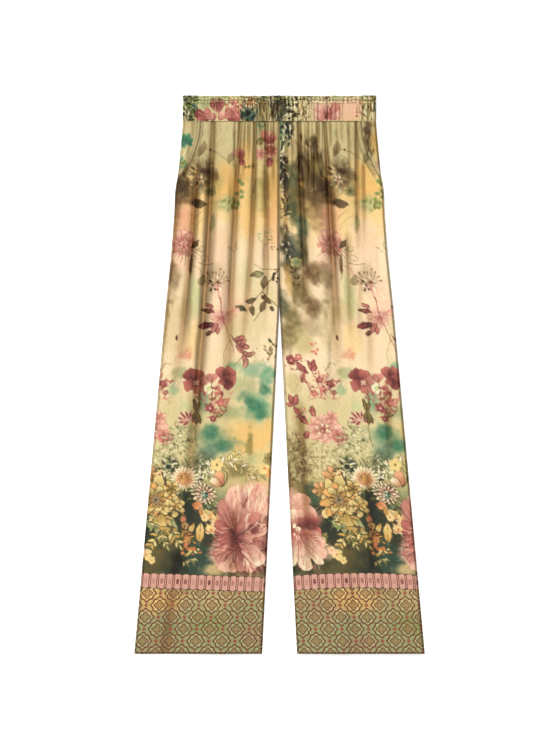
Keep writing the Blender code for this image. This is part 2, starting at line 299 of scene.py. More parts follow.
class Canvas:
    """The print on a sheet: a colour for each of its points, whose places are in millimetres."""

    def __init__(self, x, drop):
        # outlines wander a little, as painted ones do
        self.x = x + 1.3 * cloudy(x / 8, drop / 8, 6) + 0.6 * cloudy(x / 3.4, drop / 3.4, 7)
        self.drop = drop + 1.3 * cloudy(x / 8, drop / 8, 8) + 0.6 * cloudy(x / 3.4, drop / 3.4, 9)
        self.top, self.bottom = self.drop.min(axis=1), self.drop.max(axis=1)
        self.colour = np.zeros((*x.shape, 3))
        self.cloud = cloudy(x / 17, drop / 17, 3) * 0.6 + cloudy(x / 7, drop / 7, 4) * 0.4
        self.grain = cloudy(x / 3.1, drop / 3.1, 5)
        self.mottle = 0.6 * cloudy(x / 5.5, drop / 7, 10) + 0.5 * self.grain

    def window(self, x, drop, reach):
        """The rows and columns of points within reach of a place, or None."""
        rows = np.flatnonzero((self.bottom > drop - reach) & (self.top < drop + reach))
        if not len(rows):
            return None
        rows = slice(rows[0], rows[-1] + 1)
        columns = np.flatnonzero((np.abs(self.x[rows] - x) < reach).any(axis=0))
        if not len(columns):
            return None
        return rows, slice(columns[0], columns[-1] + 1)

    def lay(self, place, cover, colour):
        under = self.colour[place]
        self.colour[place] = under + (colour - under) * np.clip(cover, 0, 1)[..., None]

    def ground(self, stops):
        """Colours down the garment: (drop, name) rows."""
        drops = [stop[0] for stop in stops]
        colours = np.array([shade(stop[1]) for stop in stops])
        at = self.drop + 14 * self.cloud
        for channel in range(3):
            self.colour[..., channel] = np.interp(at, drops, colours[:, channel])

    def wash(self, x, drop, wide, tall, name, strength, turn=0):
        """A soft watercolour patch."""
        place = self.window(x, drop, 1.7 * max(wide, tall))
        if place is None:
            return
        along, across = self.turned(place, x, drop, turn)
        away = np.hypot(across / wide, along / tall)
        away = away * (1 + 0.45 * self.cloud[place]) + 0.16 * self.mottle[place]
        cover = strength * ease(1.45 - away) * (0.92 + 0.30 * self.mottle[place])
        self.lay(place, cover, shade(name))

    def turned(self, place, x, drop, turn):
        """Distances along and across a direction, in millimetres."""
        angle = math.radians(turn)
        dx, dd = self.x[place] - x, self.drop[place] - drop
        return dx * math.sin(angle) - dd * math.cos(angle), dx * math.cos(angle) + dd * math.sin(angle)

    def blade(self, x, drop, turn, length, width, foot, tip=None, line=None, pointed=0.5, widest=0.5,
              rays=0, cover=1.0, rib=None, bend=0.0):
        """A petal or leaf that grows from its foot at (x, drop)."""
        angle = math.radians(turn)
        half = length / 2
        place = self.window(x + half * math.sin(angle), drop - half * math.cos(angle), half + width / 2 + 3)
        if place is None:
            return
        along, across = self.turned(place, x, drop, turn)
        share = np.clip(along / length, 0, 1)
        across = across - bend * length * share * share
        rise, fall = 2 * pointed * widest, 2 * pointed * (1 - widest)
        fullest = widest**rise * (1 - widest) ** fall
        edge = width / 2 * share**rise * (1 - share) ** fall / fullest
        beyond = np.maximum(np.maximum(-along, along - length), 0)
        away = np.where(beyond > 0, np.hypot(across, beyond), (np.abs(across) - edge) * 0.85)
        away = away + 0.35 * self.grain[place] + min(0.11 * width, MOST_WANDER) * self.cloud[place]
        colour = mix(shade(foot), shade(tip or foot), ease(share)[..., None])
        if rays:
            lined = 0.5 + 0.5 * np.cos(2 * math.pi * rays * across / (edge + 1.5))
            colour = colour * (1 - 0.30 * lined * (1 - share))[..., None]
        colour = colour * (1 + 0.07 * self.mottle[place])[..., None]
        self.lay(place, cover * (0.5 - away / EDGE_SOFT), colour)
        if line:
            self.lay(place, OUTLINE_COVER * cover * (1.1 - np.abs(away + 0.2)), shade(line))
        if rib:
            along_rib = (share > 0.02) & (share < 0.9)
            self.lay(place, RIB_COVER * cover * along_rib * (1.1 - np.abs(across) / 0.8), shade(rib))

    def blades(self, rows, *rest, **more):
        """Blades alike in the rest: rows of (x, drop, turn, length, and what else differs)."""
        for row in rows:
            self.blade(*row, *rest, **more)

    def fan(self, x, drop, rows, *rest, **more):
        """Blades from one place: rows of (turn, length, and what else differs)."""
        for row in rows:
            self.blade(x, drop, *row, *rest, **more)

    def strokes(self, x, drop, turns, reach, width, name, cover=0.8, start=0.1, tip=None):
        """Lines that radiate from a place, uneven in length, some with a dark tip."""
        for number, turn in enumerate(turns):
            dx, dd = math.sin(math.radians(turn)), -math.cos(math.radians(turn))
            length = reach * (0.85 + 0.15 * (number * 3 % 4) / 1.5)
            near, far = ((x + run * dx, drop + run * dd) for run in (start * length, length))
            self.stem([near, far], width, name, cover)
            if tip:
                self.spot(*far, 1.5, tip)

    def spot(self, x, drop, radius, name, cover=1.0):
        place = self.window(x, drop, radius + 2.5)
        if place is None:
            return
        away = np.hypot(self.x[place] - x, self.drop[place] - drop) - radius
        self.lay(place, cover * (0.5 - away / EDGE_SOFT), shade(name))

    def stem(self, points, width, name, cover=0.9):
        """A tapering line that curves through the points."""
        points = np.array(points, float)
        middle = points.mean(axis=0)
        place = self.window(*middle, np.abs(points - middle).max() + 4)
        if place is None:
            return
        padded = np.vstack([2 * points[0] - points[1], points, 2 * points[-1] - points[-2]])
        fine = []
        for before, start, end, after in zip(padded, padded[1:], padded[2:], padded[3:]):
            for share in np.linspace(0, 1, 5)[:-1]:
                fine.append(0.5 * (2 * start + (end - before) * share
                                   + (2 * before - 5 * start + 4 * end - after) * share**2
                                   + (3 * start - before - 3 * end + after) * share**3))
        fine.append(points[-1])
        x, drop = self.x[place], self.drop[place]
        away = np.full(x.shape, 1e3)
        for number, (start, end) in enumerate(zip(fine, fine[1:])):
            run = end - start
            share = ((x - start[0]) * run[0] + (drop - start[1]) * run[1]) / max(run @ run, 1e-6)
            share = np.clip(share, 0, 1)
            half = width / 2 * (1 - 0.6 * number / len(fine))
            gap = np.hypot(x - start[0] - share * run[0], drop - start[1] - share * run[1])
            away = np.minimum(away, gap - half)
        self.lay(place, cover * (0.5 - away / LINE_SOFT), shade(name))

    def seen(self, x, drop, reach):
        """Whether the sheet has a point within reach of a place."""
        return self.window(x, drop, reach) is not None

    def bloom(self, x, drop, radius, rings, line=None, turn=0, flat=0.0, lean=0, pointed=0.5, rays=0,
              cover=1.0, jitter=0.12):
        """Rings of petals, outer first: rows of (count, share of the radius, foot and tip colour).

        With flat above 0 the flower is seen from the side that it leans to.
        """
        if not self.seen(x, drop, 1.4 * radius):
            return
        random = np.random.default_rng(int(abs(7 * x + 13 * drop)))
        for ring, (count, share, foot, tip) in enumerate(rings):
            for k in range(count):
                angle = turn + ring * 23 + 360 * (k + jitter * random.uniform(-1, 1)) / count
                shorter = 1 - flat * abs(math.cos(math.radians(angle - lean)))
                length = radius * share * shorter * (1 + jitter * random.uniform(-1, 1))
                width = 1.25 * math.pi * radius * share / max(count, 5) * (1 - 0.4 * flat)
                self.blade(x, drop, angle, length, width, foot, tip, line, pointed, PETAL_WIDEST, rays, cover)

    def floret(self, x, drop, radius, name, eye, turn=0):
        if not self.seen(x, drop, 2 * radius):
            return
        for k in range(5):
            self.blade(x, drop, turn + 72 * k, radius, 0.85 * radius, name, None, None, 0.4, 0.65)
        self.spot(x, drop, 0.22 * radius, eye)

    def scatter(self, x, drop, wide, tall, count, length, width, names, around=0, spread=180, seed=0,
                cover=0.9):
        """Small blades strewn over an oval, turned around a direction."""
        if not self.seen(x, drop, max(wide, tall) + length):
            return
        random = np.random.default_rng(int(abs(5 * x + 11 * drop)) + seed)
        for k in range(count):
            away, angle = math.sqrt(random.uniform()), random.uniform(0, 2 * math.pi)
            at_x, at_drop = x + wide * away * math.cos(angle), drop + tall * away * math.sin(angle)
            turn = around + spread * random.uniform(-1, 1)
            longer = length * random.uniform(0.7, 1.3)
            name = names[k % len(names)]
            self.blade(at_x, at_drop, turn, longer, width, name, pointed=0.8, cover=cover)

    def dots(self, x, drop, wide, tall, count, size, names):
        """Spots strewn over an oval."""
        if not self.seen(x, drop, max(wide, tall) + size):
            return
        random = np.random.default_rng(int(abs(3 * x + 17 * drop)))
        for k in range(count):
            away, angle = math.sqrt(random.uniform()), random.uniform(0, 2 * math.pi)
            self.spot(x + wide * away * math.cos(angle), drop + tall * away * math.sin(angle),
                      size * random.uniform(0.7, 1.3), names[k % len(names)])

    def garland(self, points, leaf, width, names, line=None, stem="olive", pairs=None, lean=40):
        """A stem with leaves on both sides and one at its end."""
        points = np.array(points, float)
        middle = points.mean(axis=0)
        if not self.seen(*middle, np.abs(points - middle).max() + leaf):
            return
        along = np.concatenate([[0], np.cumsum(np.hypot(*np.diff(points, axis=0).T))])
        pairs = pairs or max(2, int(along[-1] / (0.6 * leaf)))

        def place_at(run):
            return np.array([np.interp(run, along, points[:, 0]), np.interp(run, along, points[:, 1])])

        for k in range(pairs + 1):
            at = along[-1] * (k + 0.3) / (pairs + 0.3)
            dx, dd = place_at(min(along[-1], at + 1)) - place_at(max(0, at - 1))
            heading = math.degrees(math.atan2(dx, -dd))
            smaller = 1 - 0.35 * k / pairs
            for side in (-1, 1) if k < pairs else (0,):
                name, turn = names[(k + side) % len(names)], heading + side * (lean + 8 * (k % 3))
                self.blade(*place_at(at), turn, leaf * smaller, width * smaller, name, None, line, 0.85, 0.45)
        self.stem(points, 1.2, stem)


# ---------------------------------------------------------------------------------------------
# The print. Its marks lie where they do on the wearer's right leg, which is on the -X side. The
# left leg is cut from the same cloth further along, and shows it shifted by print_shift.
# ---------------------------------------------------------------------------------------------
def print_shift(drop):
    return 277.4 + 0.1396 * (drop - 265)


GROUND = (
    (0, "pale khaki"),
    (110, "pale khaki"),
    (170, "pale ochre"),
    (230, "pale ochre"),
    (300, "sand"),
    (430, "sand"),
    (520, "sand"),
    (600, "pale khaki"),
    (690, "pale khaki"),
    (740, "pale olive"),
    (790, "dark moss"),
    (900, "dark moss"),
    (925, "pale olive"),
    (1000, "sage"),
    (1060, "sage"),
)
Wash = namedtuple("Wash", "x drop wide tall colour strength turn", defaults=(0,))
WASHES = (
    # hips
    Wash(-100, 170, 25, 36, "ochre", 0.95),
    Wash(-62, 140, 13, 60, "ochre", 0.75),
    Wash(-48, 190, 14, 44, "pale olive", 0.8),
    Wash(-28, 180, 9, 50, "olive", 0.7),
    Wash(-12, 180, 9, 70, "gold", 0.75),
    Wash(-170, 128, 12, 22, "khaki grey", 0.5),
    Wash(-34, 60, 12, 14, "sage", 0.6),
    Wash(-138, 152, 16, 20, "brown", 0.75),
    Wash(-112, 165, 11, 14, "sage", 0.35),
    Wash(-184, 166, 20, 20, "umber", 0.85),
    Wash(-168, 182, 15, 18, "brown", 0.6),
    Wash(-192, 192, 16, 24, "brown", 0.6),
    Wash(-196, 216, 9, 22, "grey brown", 0.7),
    Wash(-178, 236, 22, 30, "pink", 0.55),
    Wash(-150, 246, 18, 22, "pale ochre", 0.7),
    Wash(-98, 207, 22, 14, "sage", 0.6),
    Wash(-118, 250, 26, 24, "sand", 0.8),
    Wash(-116, 296, 26, 44, "pale pink", 0.4),
    Wash(-70, 310, 26, 40, "cream", 0.5),
    Wash(-58, 236, 16, 44, "ochre", 0.5),
    Wash(-12, 250, 12, 60, "peach", 0.6),
    Wash(-40, 300, 22, 40, "sand", 0.8),
    # thighs
    Wash(-122, 350, 17, 26, "khaki grey", 0.6),
    Wash(-200, 348, 10, 28, "grey brown", 0.7),
    Wash(-190, 312, 26, 18, "pale pink", 0.5),
    Wash(-162, 385, 13, 36, "pale green", 0.85),
    Wash(-176, 412, 14, 26, "khaki", 0.6),
    Wash(-92, 408, 30, 20, "pale pink", 0.6),
    Wash(-108, 368, 20, 22, "pale pink", 0.5),
    Wash(-60, 440, 46, 34, "pale khaki", 0.6),
    Wash(-26, 380, 26, 40, "pale khaki", 0.6),
    Wash(-60, 345, 22, 22, "pale green", 0.35),
    Wash(-210, 440, 18, 50, "khaki", 0.5),
    # beside the left leg's centre seam
    Wash(-246, 78, 10, 36, "sage", 0.8),
    Wash(-246, 66, 8, 18, "teal", 0.4),
    Wash(-230, 60, 9, 14, "black green", 0.9),
    Wash(-226, 98, 8, 22, "khaki grey", 0.7),
    Wash(-253, 150, 10, 34, "black green", 0.9),
    Wash(-236, 162, 14, 36, "moss", 0.85),
    Wash(-211, 150, 13, 52, "umber", 0.75),
    Wash(-188, 104, 6, 26, "umber", 0.8),
    Wash(-194, 152, 26, 44, "olive brown", 0.85),
    Wash(-184, 178, 16, 24, "umber", 0.6),
    Wash(-226, 84, 7, 26, "pale khaki", 0.6),
    Wash(-232, 196, 20, 34, "olive brown", 0.8),
    Wash(-206, 222, 12, 30, "brown", 0.55),
    Wash(-248, 222, 12, 26, "moss", 0.85),
    Wash(-232, 250, 11, 24, "grey teal", 0.8),
    Wash(-262, 300, 16, 50, "black green", 0.9),
    Wash(-240, 296, 13, 30, "moss", 0.8),
    Wash(-262, 350, 12, 40, "olive brown", 0.7),
    Wash(-272, 350, 8, 28, "gold", 0.6),
    Wash(-222, 338, 18, 20, "brown", 0.8),
    Wash(-252, 372, 15, 32, "olive brown", 0.75),
    Wash(-231, 403, 16, 20, "brown", 0.8),
    Wash(-276, 430, 21, 28, "olive brown", 0.85),
    Wash(-262, 470, 22, 28, "pale olive", 0.75),
    Wash(-236, 440, 16, 20, "khaki grey", 0.6),
    Wash(-294, 398, 13, 30, "moss", 0.75),
    Wash(-294, 458, 16, 30, "olive brown", 0.75),
    Wash(-290, 545, 18, 22, "pale olive", 0.55),
    # knees
    Wash(-167, 465, 18, 32, "pale ochre", 0.7),
    Wash(-178, 492, 12, 9, "coral", 0.5),
    Wash(-189, 527, 15, 10, "sage", 0.8),
    Wash(-202, 561, 9, 10, "teal", 0.45),
    Wash(-177, 591, 10, 12, "pale green", 0.8),
    Wash(-86, 528, 22, 26, "pale green", 0.8),
    Wash(-94, 518, 12, 10, "teal", 0.5),
    Wash(-52, 522, 24, 15, "teal", 0.60),
    Wash(-24, 534, 15, 20, "teal", 0.8),
    Wash(-64, 556, 26, 26, "sage", 0.65),
    Wash(-28, 560, 12, 10, "deep teal", 0.8),
    Wash(-42, 594, 27, 28, "teal", 0.85),
    Wash(-50, 586, 11, 26, "deep teal", 0.95, 125),
    Wash(-34, 608, 13, 9, "deep teal", 0.8),
    Wash(-145, 574, 13, 30, "blue teal", 0.65),
    Wash(-96, 602, 30, 12, "sage", 0.85),
    Wash(-68, 652, 48, 34, "ochre", 0.85),
    Wash(-24, 640, 16, 30, "ochre", 0.7),
    Wash(-56, 664, 6, 24, "olive", 0.9),
    Wash(-44, 690, 20, 10, "sage", 0.6),
    Wash(-122, 658, 36, 27, "blue teal", 0.75),
    Wash(-130, 642, 14, 12, "deep teal", 0.85),
    Wash(-108, 668, 13, 12, "deep teal", 0.8),
    Wash(-134, 684, 16, 20, "grey teal", 0.8),
    Wash(-30, 696, 20, 16, "pale gold", 0.55),
    Wash(-212, 690, 40, 40, "pale khaki", 0.5),
    Wash(-303, 676, 18, 36, "olive brown", 0.75),
    Wash(-304, 728, 14, 28, "olive brown", 0.7),
    Wash(-322, 728, 8, 32, "brown", 0.7),
    # above the border
    Wash(-206, 702, 14, 18, "moss", 0.75),
    Wash(-170, 745, 16, 44, "forest", 0.85),
    Wash(-176, 790, 16, 44, "forest", 0.95),
    Wash(-225, 850, 60, 38, "olive brown", 0.85),
    Wash(-190, 892, 34, 36, "forest", 0.85),
    Wash(-150, 884, 26, 34, "dark teal", 0.8),
    Wash(-95, 728, 40, 20, "pale olive", 0.9),
    Wash(-110, 762, 18, 18, "sage", 0.7),
    Wash(-46, 744, 24, 20, "peach", 0.8),
    Wash(-78, 712, 24, 12, "olive brown", 0.75),
    Wash(-142, 706, 24, 22, "moss", 0.65),
    Wash(-18, 702, 14, 14, "olive", 0.7),
    Wash(-282, 756, 14, 24, "dark teal", 0.8),
    Wash(-256, 828, 38, 30, "forest", 0.9),
    Wash(-264, 886, 46, 26, "olive brown", 0.7),
    Wash(-284, 872, 32, 26, "dark moss", 0.8),
    # the border's ground
    Wash(-235, 958, 44, 26, "ochre", 0.8),
    Wash(-120, 955, 40, 18, "khaki", 0.7),
    Wash(-200, 1018, 40, 26, "sage", 0.9),
    Wash(-230, 1040, 30, 16, "khaki grey", 0.7),
    Wash(-130, 1005, 34, 22, "leaf green", 0.35),
    Wash(-100, 1040, 60, 18, "sage", 0.9),
    Wash(-60, 975, 34, 22, "sage", 0.8),
    Wash(-45, 1020, 30, 22, "khaki grey", 0.7),
    Wash(-300, 975, 34, 26, "khaki grey", 0.6),
)


def print_hips(c):
    # faint growth over the khaki ground
    c.scatter(-112, 76, 46, 26, 60, 14, 1.5, ("sage", "khaki grey", "cream"), 8, 40, cover=0.45)
    # branch with a thin leaf
    c.stem([(-142, 101), (-131, 106), (-118, 109), (-105, 120)], 1.5, "olive brown", 0.8)
    c.stem([(-105, 120), (-92, 131), (-76, 135)], 1.0, "olive brown", 0.6)
    c.spot(-131, 104, 2.2, "umber")
    c.blade(-98, 128, 28, 21, 11, "pale olive", "khaki grey", "olive brown", 0.8, 0.5, 3, 0.65, "olive brown")
    # ghost flowers round the dark smudge
    petals = ((-62, 22), (-34, 28), (-6, 30), (22, 26))
    c.fan(-142, 140, petals, 20, "khaki grey", "pale khaki", "grey brown", 0.5, 0.6, 3, 0.5)
    petals = ((38, 22), (74, 22), (104, 22), (126, 22))
    c.fan(-138, 146, petals, 10, "grey brown", "pale khaki", "brown", 0.8, 0.5, 2, 0.5)
    rings = ((6, 1.0, "grey brown", "pale khaki"), (5, 0.6, "peach", "cream"))
    c.bloom(-151, 160, 15, rings, "brown", 20, 0.2, 0, 0.6, 3, 0.75)
    c.wash(-143, 144, 11, 8, "umber", 0.75)
    c.wash(-128, 154, 10, 6, "brown", 0.6)
    c.wash(-139, 168, 5, 12, "brown", 0.6)
    petals = ((-152, 166, 255, 18, 10), (-146, 168, 195, 20, 11), (-140, 162, 130, 22, 10),
              (-158, 150, 280, 18, 9), (-150, 138, 330, 20, 11), (-138, 138, 20, 22, 11))
    c.blades(petals, "grey brown", "pale khaki", "brown", 0.7, 0.55, 3, 0.7)
    c.strokes(-146, 150, (-84, -30, 70, 110, 160), 14, 1.0, "umber", 0.4, 0.3)
    rings = ((6, 1.0, "olive", "khaki"), (5, 0.6, "olive brown", "sage"))
    c.bloom(-132, 182, 13, rings, "olive brown", 10, 0, 0, 0.5, 2, 0.7)
    c.blade(-152, 116, 22, 30, 12, "grey brown", "khaki grey", "olive brown", 0.9, cover=0.65,
            rib="olive brown")
    c.blade(-160, 142, 305, 12, 7, "umber", "grey brown", None, 0.9, cover=0.8)
    # the leaf under them, with faint stems
    c.blade(-166, 203, 100, 28, 15, "brown", "grey brown", "umber", 0.9, 0.4, 2, 0.9, "umber")
    c.stem([(-164, 236), (-152, 224), (-140, 214)], 1.3, "olive brown", 0.7)
    c.stem([(-162, 256), (-150, 240), (-132, 226)], 1.1, "olive brown", 0.5)
    c.blade(-130, 262, 8, 38, 11, "pale olive", "sage", "khaki grey", 0.9, 0.5, 0, 0.5, "khaki grey")
    # green sprigs
    c.scatter(-99, 206, 20, 9, 34, 9, 3.6, ("sage", "leaf green", "pale green"), cover=0.5)
    c.scatter(-86, 213, 9, 6, 12, 8, 4.0, ("leaf green", "olive"), 20, 60, cover=0.7)
    c.stem([(-73, 150), (-75, 172), (-77, 206)], 1.2, "olive", 0.8)
    leaves = ((-74, 172, 60), (-73, 168, -40), (-77, 188, -70),
              (-76, 194, 70), (-77, 201, 200), (-76, 182, 110))
    c.blades(leaves, 10, 7.5, "leaf green", "sage", None, 0.6, cover=0.85)
    # blossoms in the gathers
    petals = ((-42, 22, 11, "pink", "pale pink"), (-14, 21, 11, "rose", "pale pink"),
              (14, 16, 11, "rose", "pink"), (170, 14, 11, "plum", "rose"))
    c.fan(-73, 120, petals, "rose", 0.5, 0.6, 2, 0.85)
    c.wash(-73, 115, 5, 9, "plum", 0.8)
    petals = ((-24, 27, 14, "rose", "pink"), (4, 25, 14, "rose", "pale pink"), (30, 20, 14, "plum", "pink"))
    c.fan(-20, 92, petals, "rose", 0.5, 0.6, 3, 0.85)
    rings = ((6, 1.0, "rose", "pale pink"), (5, 0.6, "plum", "pink"))
    c.bloom(-17, 106, 16, rings, "plum", 30, 0.2, 90, 0.45, 3, 0.9)
    c.strokes(-17, 106, range(-80, 100, 30), 8, 1.1, "orange", 0.8, 0.2, "plum")
    c.bloom(-35, 112, 13, ((5, 1.0, "pink", "pale pink"),), "rose", 50, 0.2, 90, 0.45, 2, 0.8)
    c.blade(-18, 118, 182, 18, 12, "plum", "rose", "plum", 0.5, 0.5, 2)
    c.blade(-44, 92, 58, 18, 11, "pale olive", "olive", "umber", 0.9, 0.5, 0, 0.85, "olive brown")
    c.scatter(-32, 58, 9, 9, 12, 8, 3.0, ("sage", "grey teal"), 0, 60, cover=0.7)
    c.stem([(-50, 186), (-48, 170), (-42, 160), (-34, 155)], 1.6, "brown", 0.9)
    c.dots(-56, 134, 12, 5, 8, 2.0, ("olive", "olive brown"))
    # dark leaves down the left leg's centre seam
    c.scatter(-246, 76, 10, 34, 34, 12, 4.0, ("dark teal", "black green", "cream", "sage"), 0, 60)
    c.scatter(-228, 66, 8, 14, 14, 12, 4.0, ("black green", "forest", "cream"), 180, 40)
    c.scatter(-252, 140, 9, 34, 40, 11, 3.4, ("black green", "umber", "cream", "umber"), -20, 80)
    c.scatter(-258, 200, 8, 40, 30, 9, 2.6, ("cream", "umber", "pale olive", "black green"), 0, 90)
    c.scatter(-268, 268, 8, 60, 40, 8, 2.4, ("umber", "cream", "olive brown"), 0, 90)
    c.scatter(-205, 135, 32, 50, 46, 20, 2.6, ("umber", "khaki grey", "brown", "umber"), 0, 14, cover=0.55)
    c.scatter(-186, 172, 18, 22, 26, 11, 1.8, ("umber", "khaki", "dark plum"), cover=0.55)
    c.bloom(-252, 318, 13, ((6, 1.0, "grey teal", "pale olive"),), "olive", 0, 0.3, 0, 0.8)
    c.garland([(-262, 372), (-256, 350), (-262, 330)], 12, 4, ("umber", "olive brown"))
    c.strokes(-234, 252, range(140, 230, 18), 16, 1.2, "grey teal", 0.6)


def print_thighs(c):
    # blossom of long, lined petals
    x, drop = -181, 282
    petals = ((11, 1.0, "pale pink", "pink"), (9, 0.66, "pink", "pale pink"))
    c.bloom(x, drop, 28, petals, "dusty pink", 0, 0.12, 20, 0.7, 3, 0.6)
    c.strokes(x, drop, range(-170, 190, 17), 25, 1.1, "plum", 0.45, 0.3)
    c.strokes(x + 2, drop + 3, range(110, 250, 14), 34, 1.2, "brown", 0.7, 0.3)
    petals = ((-64, 25), (-30, 27), (4, 25), (38, 24))
    c.fan(x, drop, petals, 15, "rose", "pale pink", "plum", 0.6, 0.6, 3, 0.6)
    c.scatter(x, drop, 6, 5, 8, 7, 2, ("cream", "plum", "pale pink"))
    c.blade(-168, 290, 48, 22, 10, "brown", "grey brown", "umber", 0.9, rib="umber")
    c.blade(-158, 296, 70, 20, 10, "pale olive", "cream", "olive brown", 0.9, cover=0.6)
    c.blade(-150, 306, 110, 18, 11, "cream", "pale pink", "olive brown", 0.9, cover=0.6)
    c.stem([(-172, 300), (-166, 326), (-172, 352)], 2.2, "brown", 0.8)
    c.stem([(-166, 322), (-150, 332), (-148, 346)], 1.1, "rose")
    c.stem([(-152, 318), (-138, 322), (-124, 320)], 1.2, "olive brown", 0.8)
    c.blade(-166, 300, 186, 40, 7, "grey brown", "brown", None, 0.8, cover=0.8)
    # fan bloom with long stamens
    c.blade(-150, 362, 15, 20, 16, "khaki grey", None, None, 0.5, cover=0.5)
    c.bloom(-119, 358, 19, ((7, 1.0, "pale pink", "cream"),), "dusty pink", -50, 0.2, 0, 0.6, 3, 0.5)
    c.strokes(-119, 360, (-74, -56, -38, -20, -4, 12, 30, 50, 70), 27, 1.0, "brown", 0.75, 0.1, "dark plum")
    c.dots(-124, 362, 16, 11, 12, 1.7, ("umber", "plum"))
    c.stem([(-119, 362), (-115, 382), (-110, 404)], 1.4, "rose")
    # dark branch
    c.stem([(-1, 330), (-22, 356), (-42, 384), (-64, 412)], 2.2, "brown")
    c.stem([(-6, 330), (-30, 330), (-48, 322)], 1.3, "olive brown")
    c.stem([(-22, 356), (-26, 388), (-36, 410), (-50, 428)], 1.8, "brown")
    c.stem([(-34, 374), (-14, 392), (-2, 402)], 1.3, "umber")
    leaves = ((-30, 338, 262, 26, 13, "sage"), (-26, 344, 196, 24, 11, "khaki grey"),
              (-44, 386, 250, 22, 10, "olive brown"), (-34, 380, 130, 24, 10, "brown"),
              (-28, 392, 205, 22, 11, "grey brown"), (-52, 400, 175, 18, 8, "olive brown"),
              (-64, 408, 290, 20, 9, "moss"), (-14, 352, 20, 12, 5, "umber"), (-18, 400, 150, 12, 6, "brown"))
    c.blades(leaves, "grey brown", "umber", 0.9, 0.45, 0, 0.9, "umber")
    c.dots(-6, 342, 8, 14, 9, 2.0, ("umber", "black green", "olive brown"))
    c.scatter(-26, 271, 14, 14, 14, 8, 1.6, ("olive", "teal", "leaf green"))
    c.scatter(-86, 290, 8, 7, 5, 7, 1.6, ("olive", "sage"))
    c.dots(-8, 285, 10, 12, 7, 1.2, ("olive brown", "umber"))
    # drooping blossom with plum leaves
    rings = ((7, 1.0, "faded pink", "pale pink"), (5, 0.6, "pink", "pale pink"))
    c.bloom(-110, 424, 26, rings, "dusty pink", 20, 0.3, 0, 0.6, 3, 0.6)
    c.strokes(-110, 416, (200, 218, 182, 166, 148, 96, 74, 240), 24, 1.0, "plum", 0.6, 0.2)
    leaves = ((-122, 412, 282, 26, 9, "plum", "brown"), (-126, 404, 300, 16, 8, "rose", "pink"),
              (-124, 434, 258, 30, 13, "dark plum", "plum"), (-118, 432, 208, 22, 12, "rose", "dusty pink"),
              (-128, 448, 240, 14, 7, "dark plum", "brown"), (-116, 440, 186, 14, 8, "pink", "rose"))
    c.blades(leaves, "dark plum", 0.85, 0.5, 2, 0.9, "pink")
    c.blade(-100, 412, 75, 26, 8, "pink", "pale pink", None, 0.8, cover=0.6)
    # its stem and the ribbed leaf
    c.stem([(-113, 384), (-108, 421), (-100, 444), (-85, 489)], 1.8, "plum", 0.85)
    for k, turn in enumerate((112, 62, 150, 95, 30, 128, 172, 72, 196)):
        x, drop = -88 + 3.4 * k, 462 + 4.6 * k
        foot, tip = ("rose", "plum", "dusty pink")[k % 3], ("pink", "rose")[k % 2]
        c.blade(x, drop, turn, 20, 9, foot, tip, "dark plum", 0.7, 0.5, 2, 0.9, "pale pink")
    c.stem([(-92, 456), (-76, 480), (-60, 502)], 1.4, "dark plum")
    c.stem([(-66, 486), (-76, 502), (-88, 514)], 1.2, "umber")
    c.stem([(-80, 458), (-94, 466), (-104, 486), (-106, 514)], 1.4, "olive")
    c.stem([(-62, 500), (-66, 530), (-70, 556)], 0.9, "teal", 0.6)
    c.scatter(-16, 488, 14, 20, 22, 9, 2.6, ("olive brown", "moss", "olive"), 10, 60)
    c.scatter(-42, 498, 18, 14, 14, 8, 1.6, ("pale olive", "sage"), 0, 90)
    c.blade(-194, 466, -12, 11, 5, "dark plum", "brown", None, 0.9)
    c.scatter(-178, 492, 12, 8, 8, 8, 1.6, ("coral", "rose"), cover=0.5)


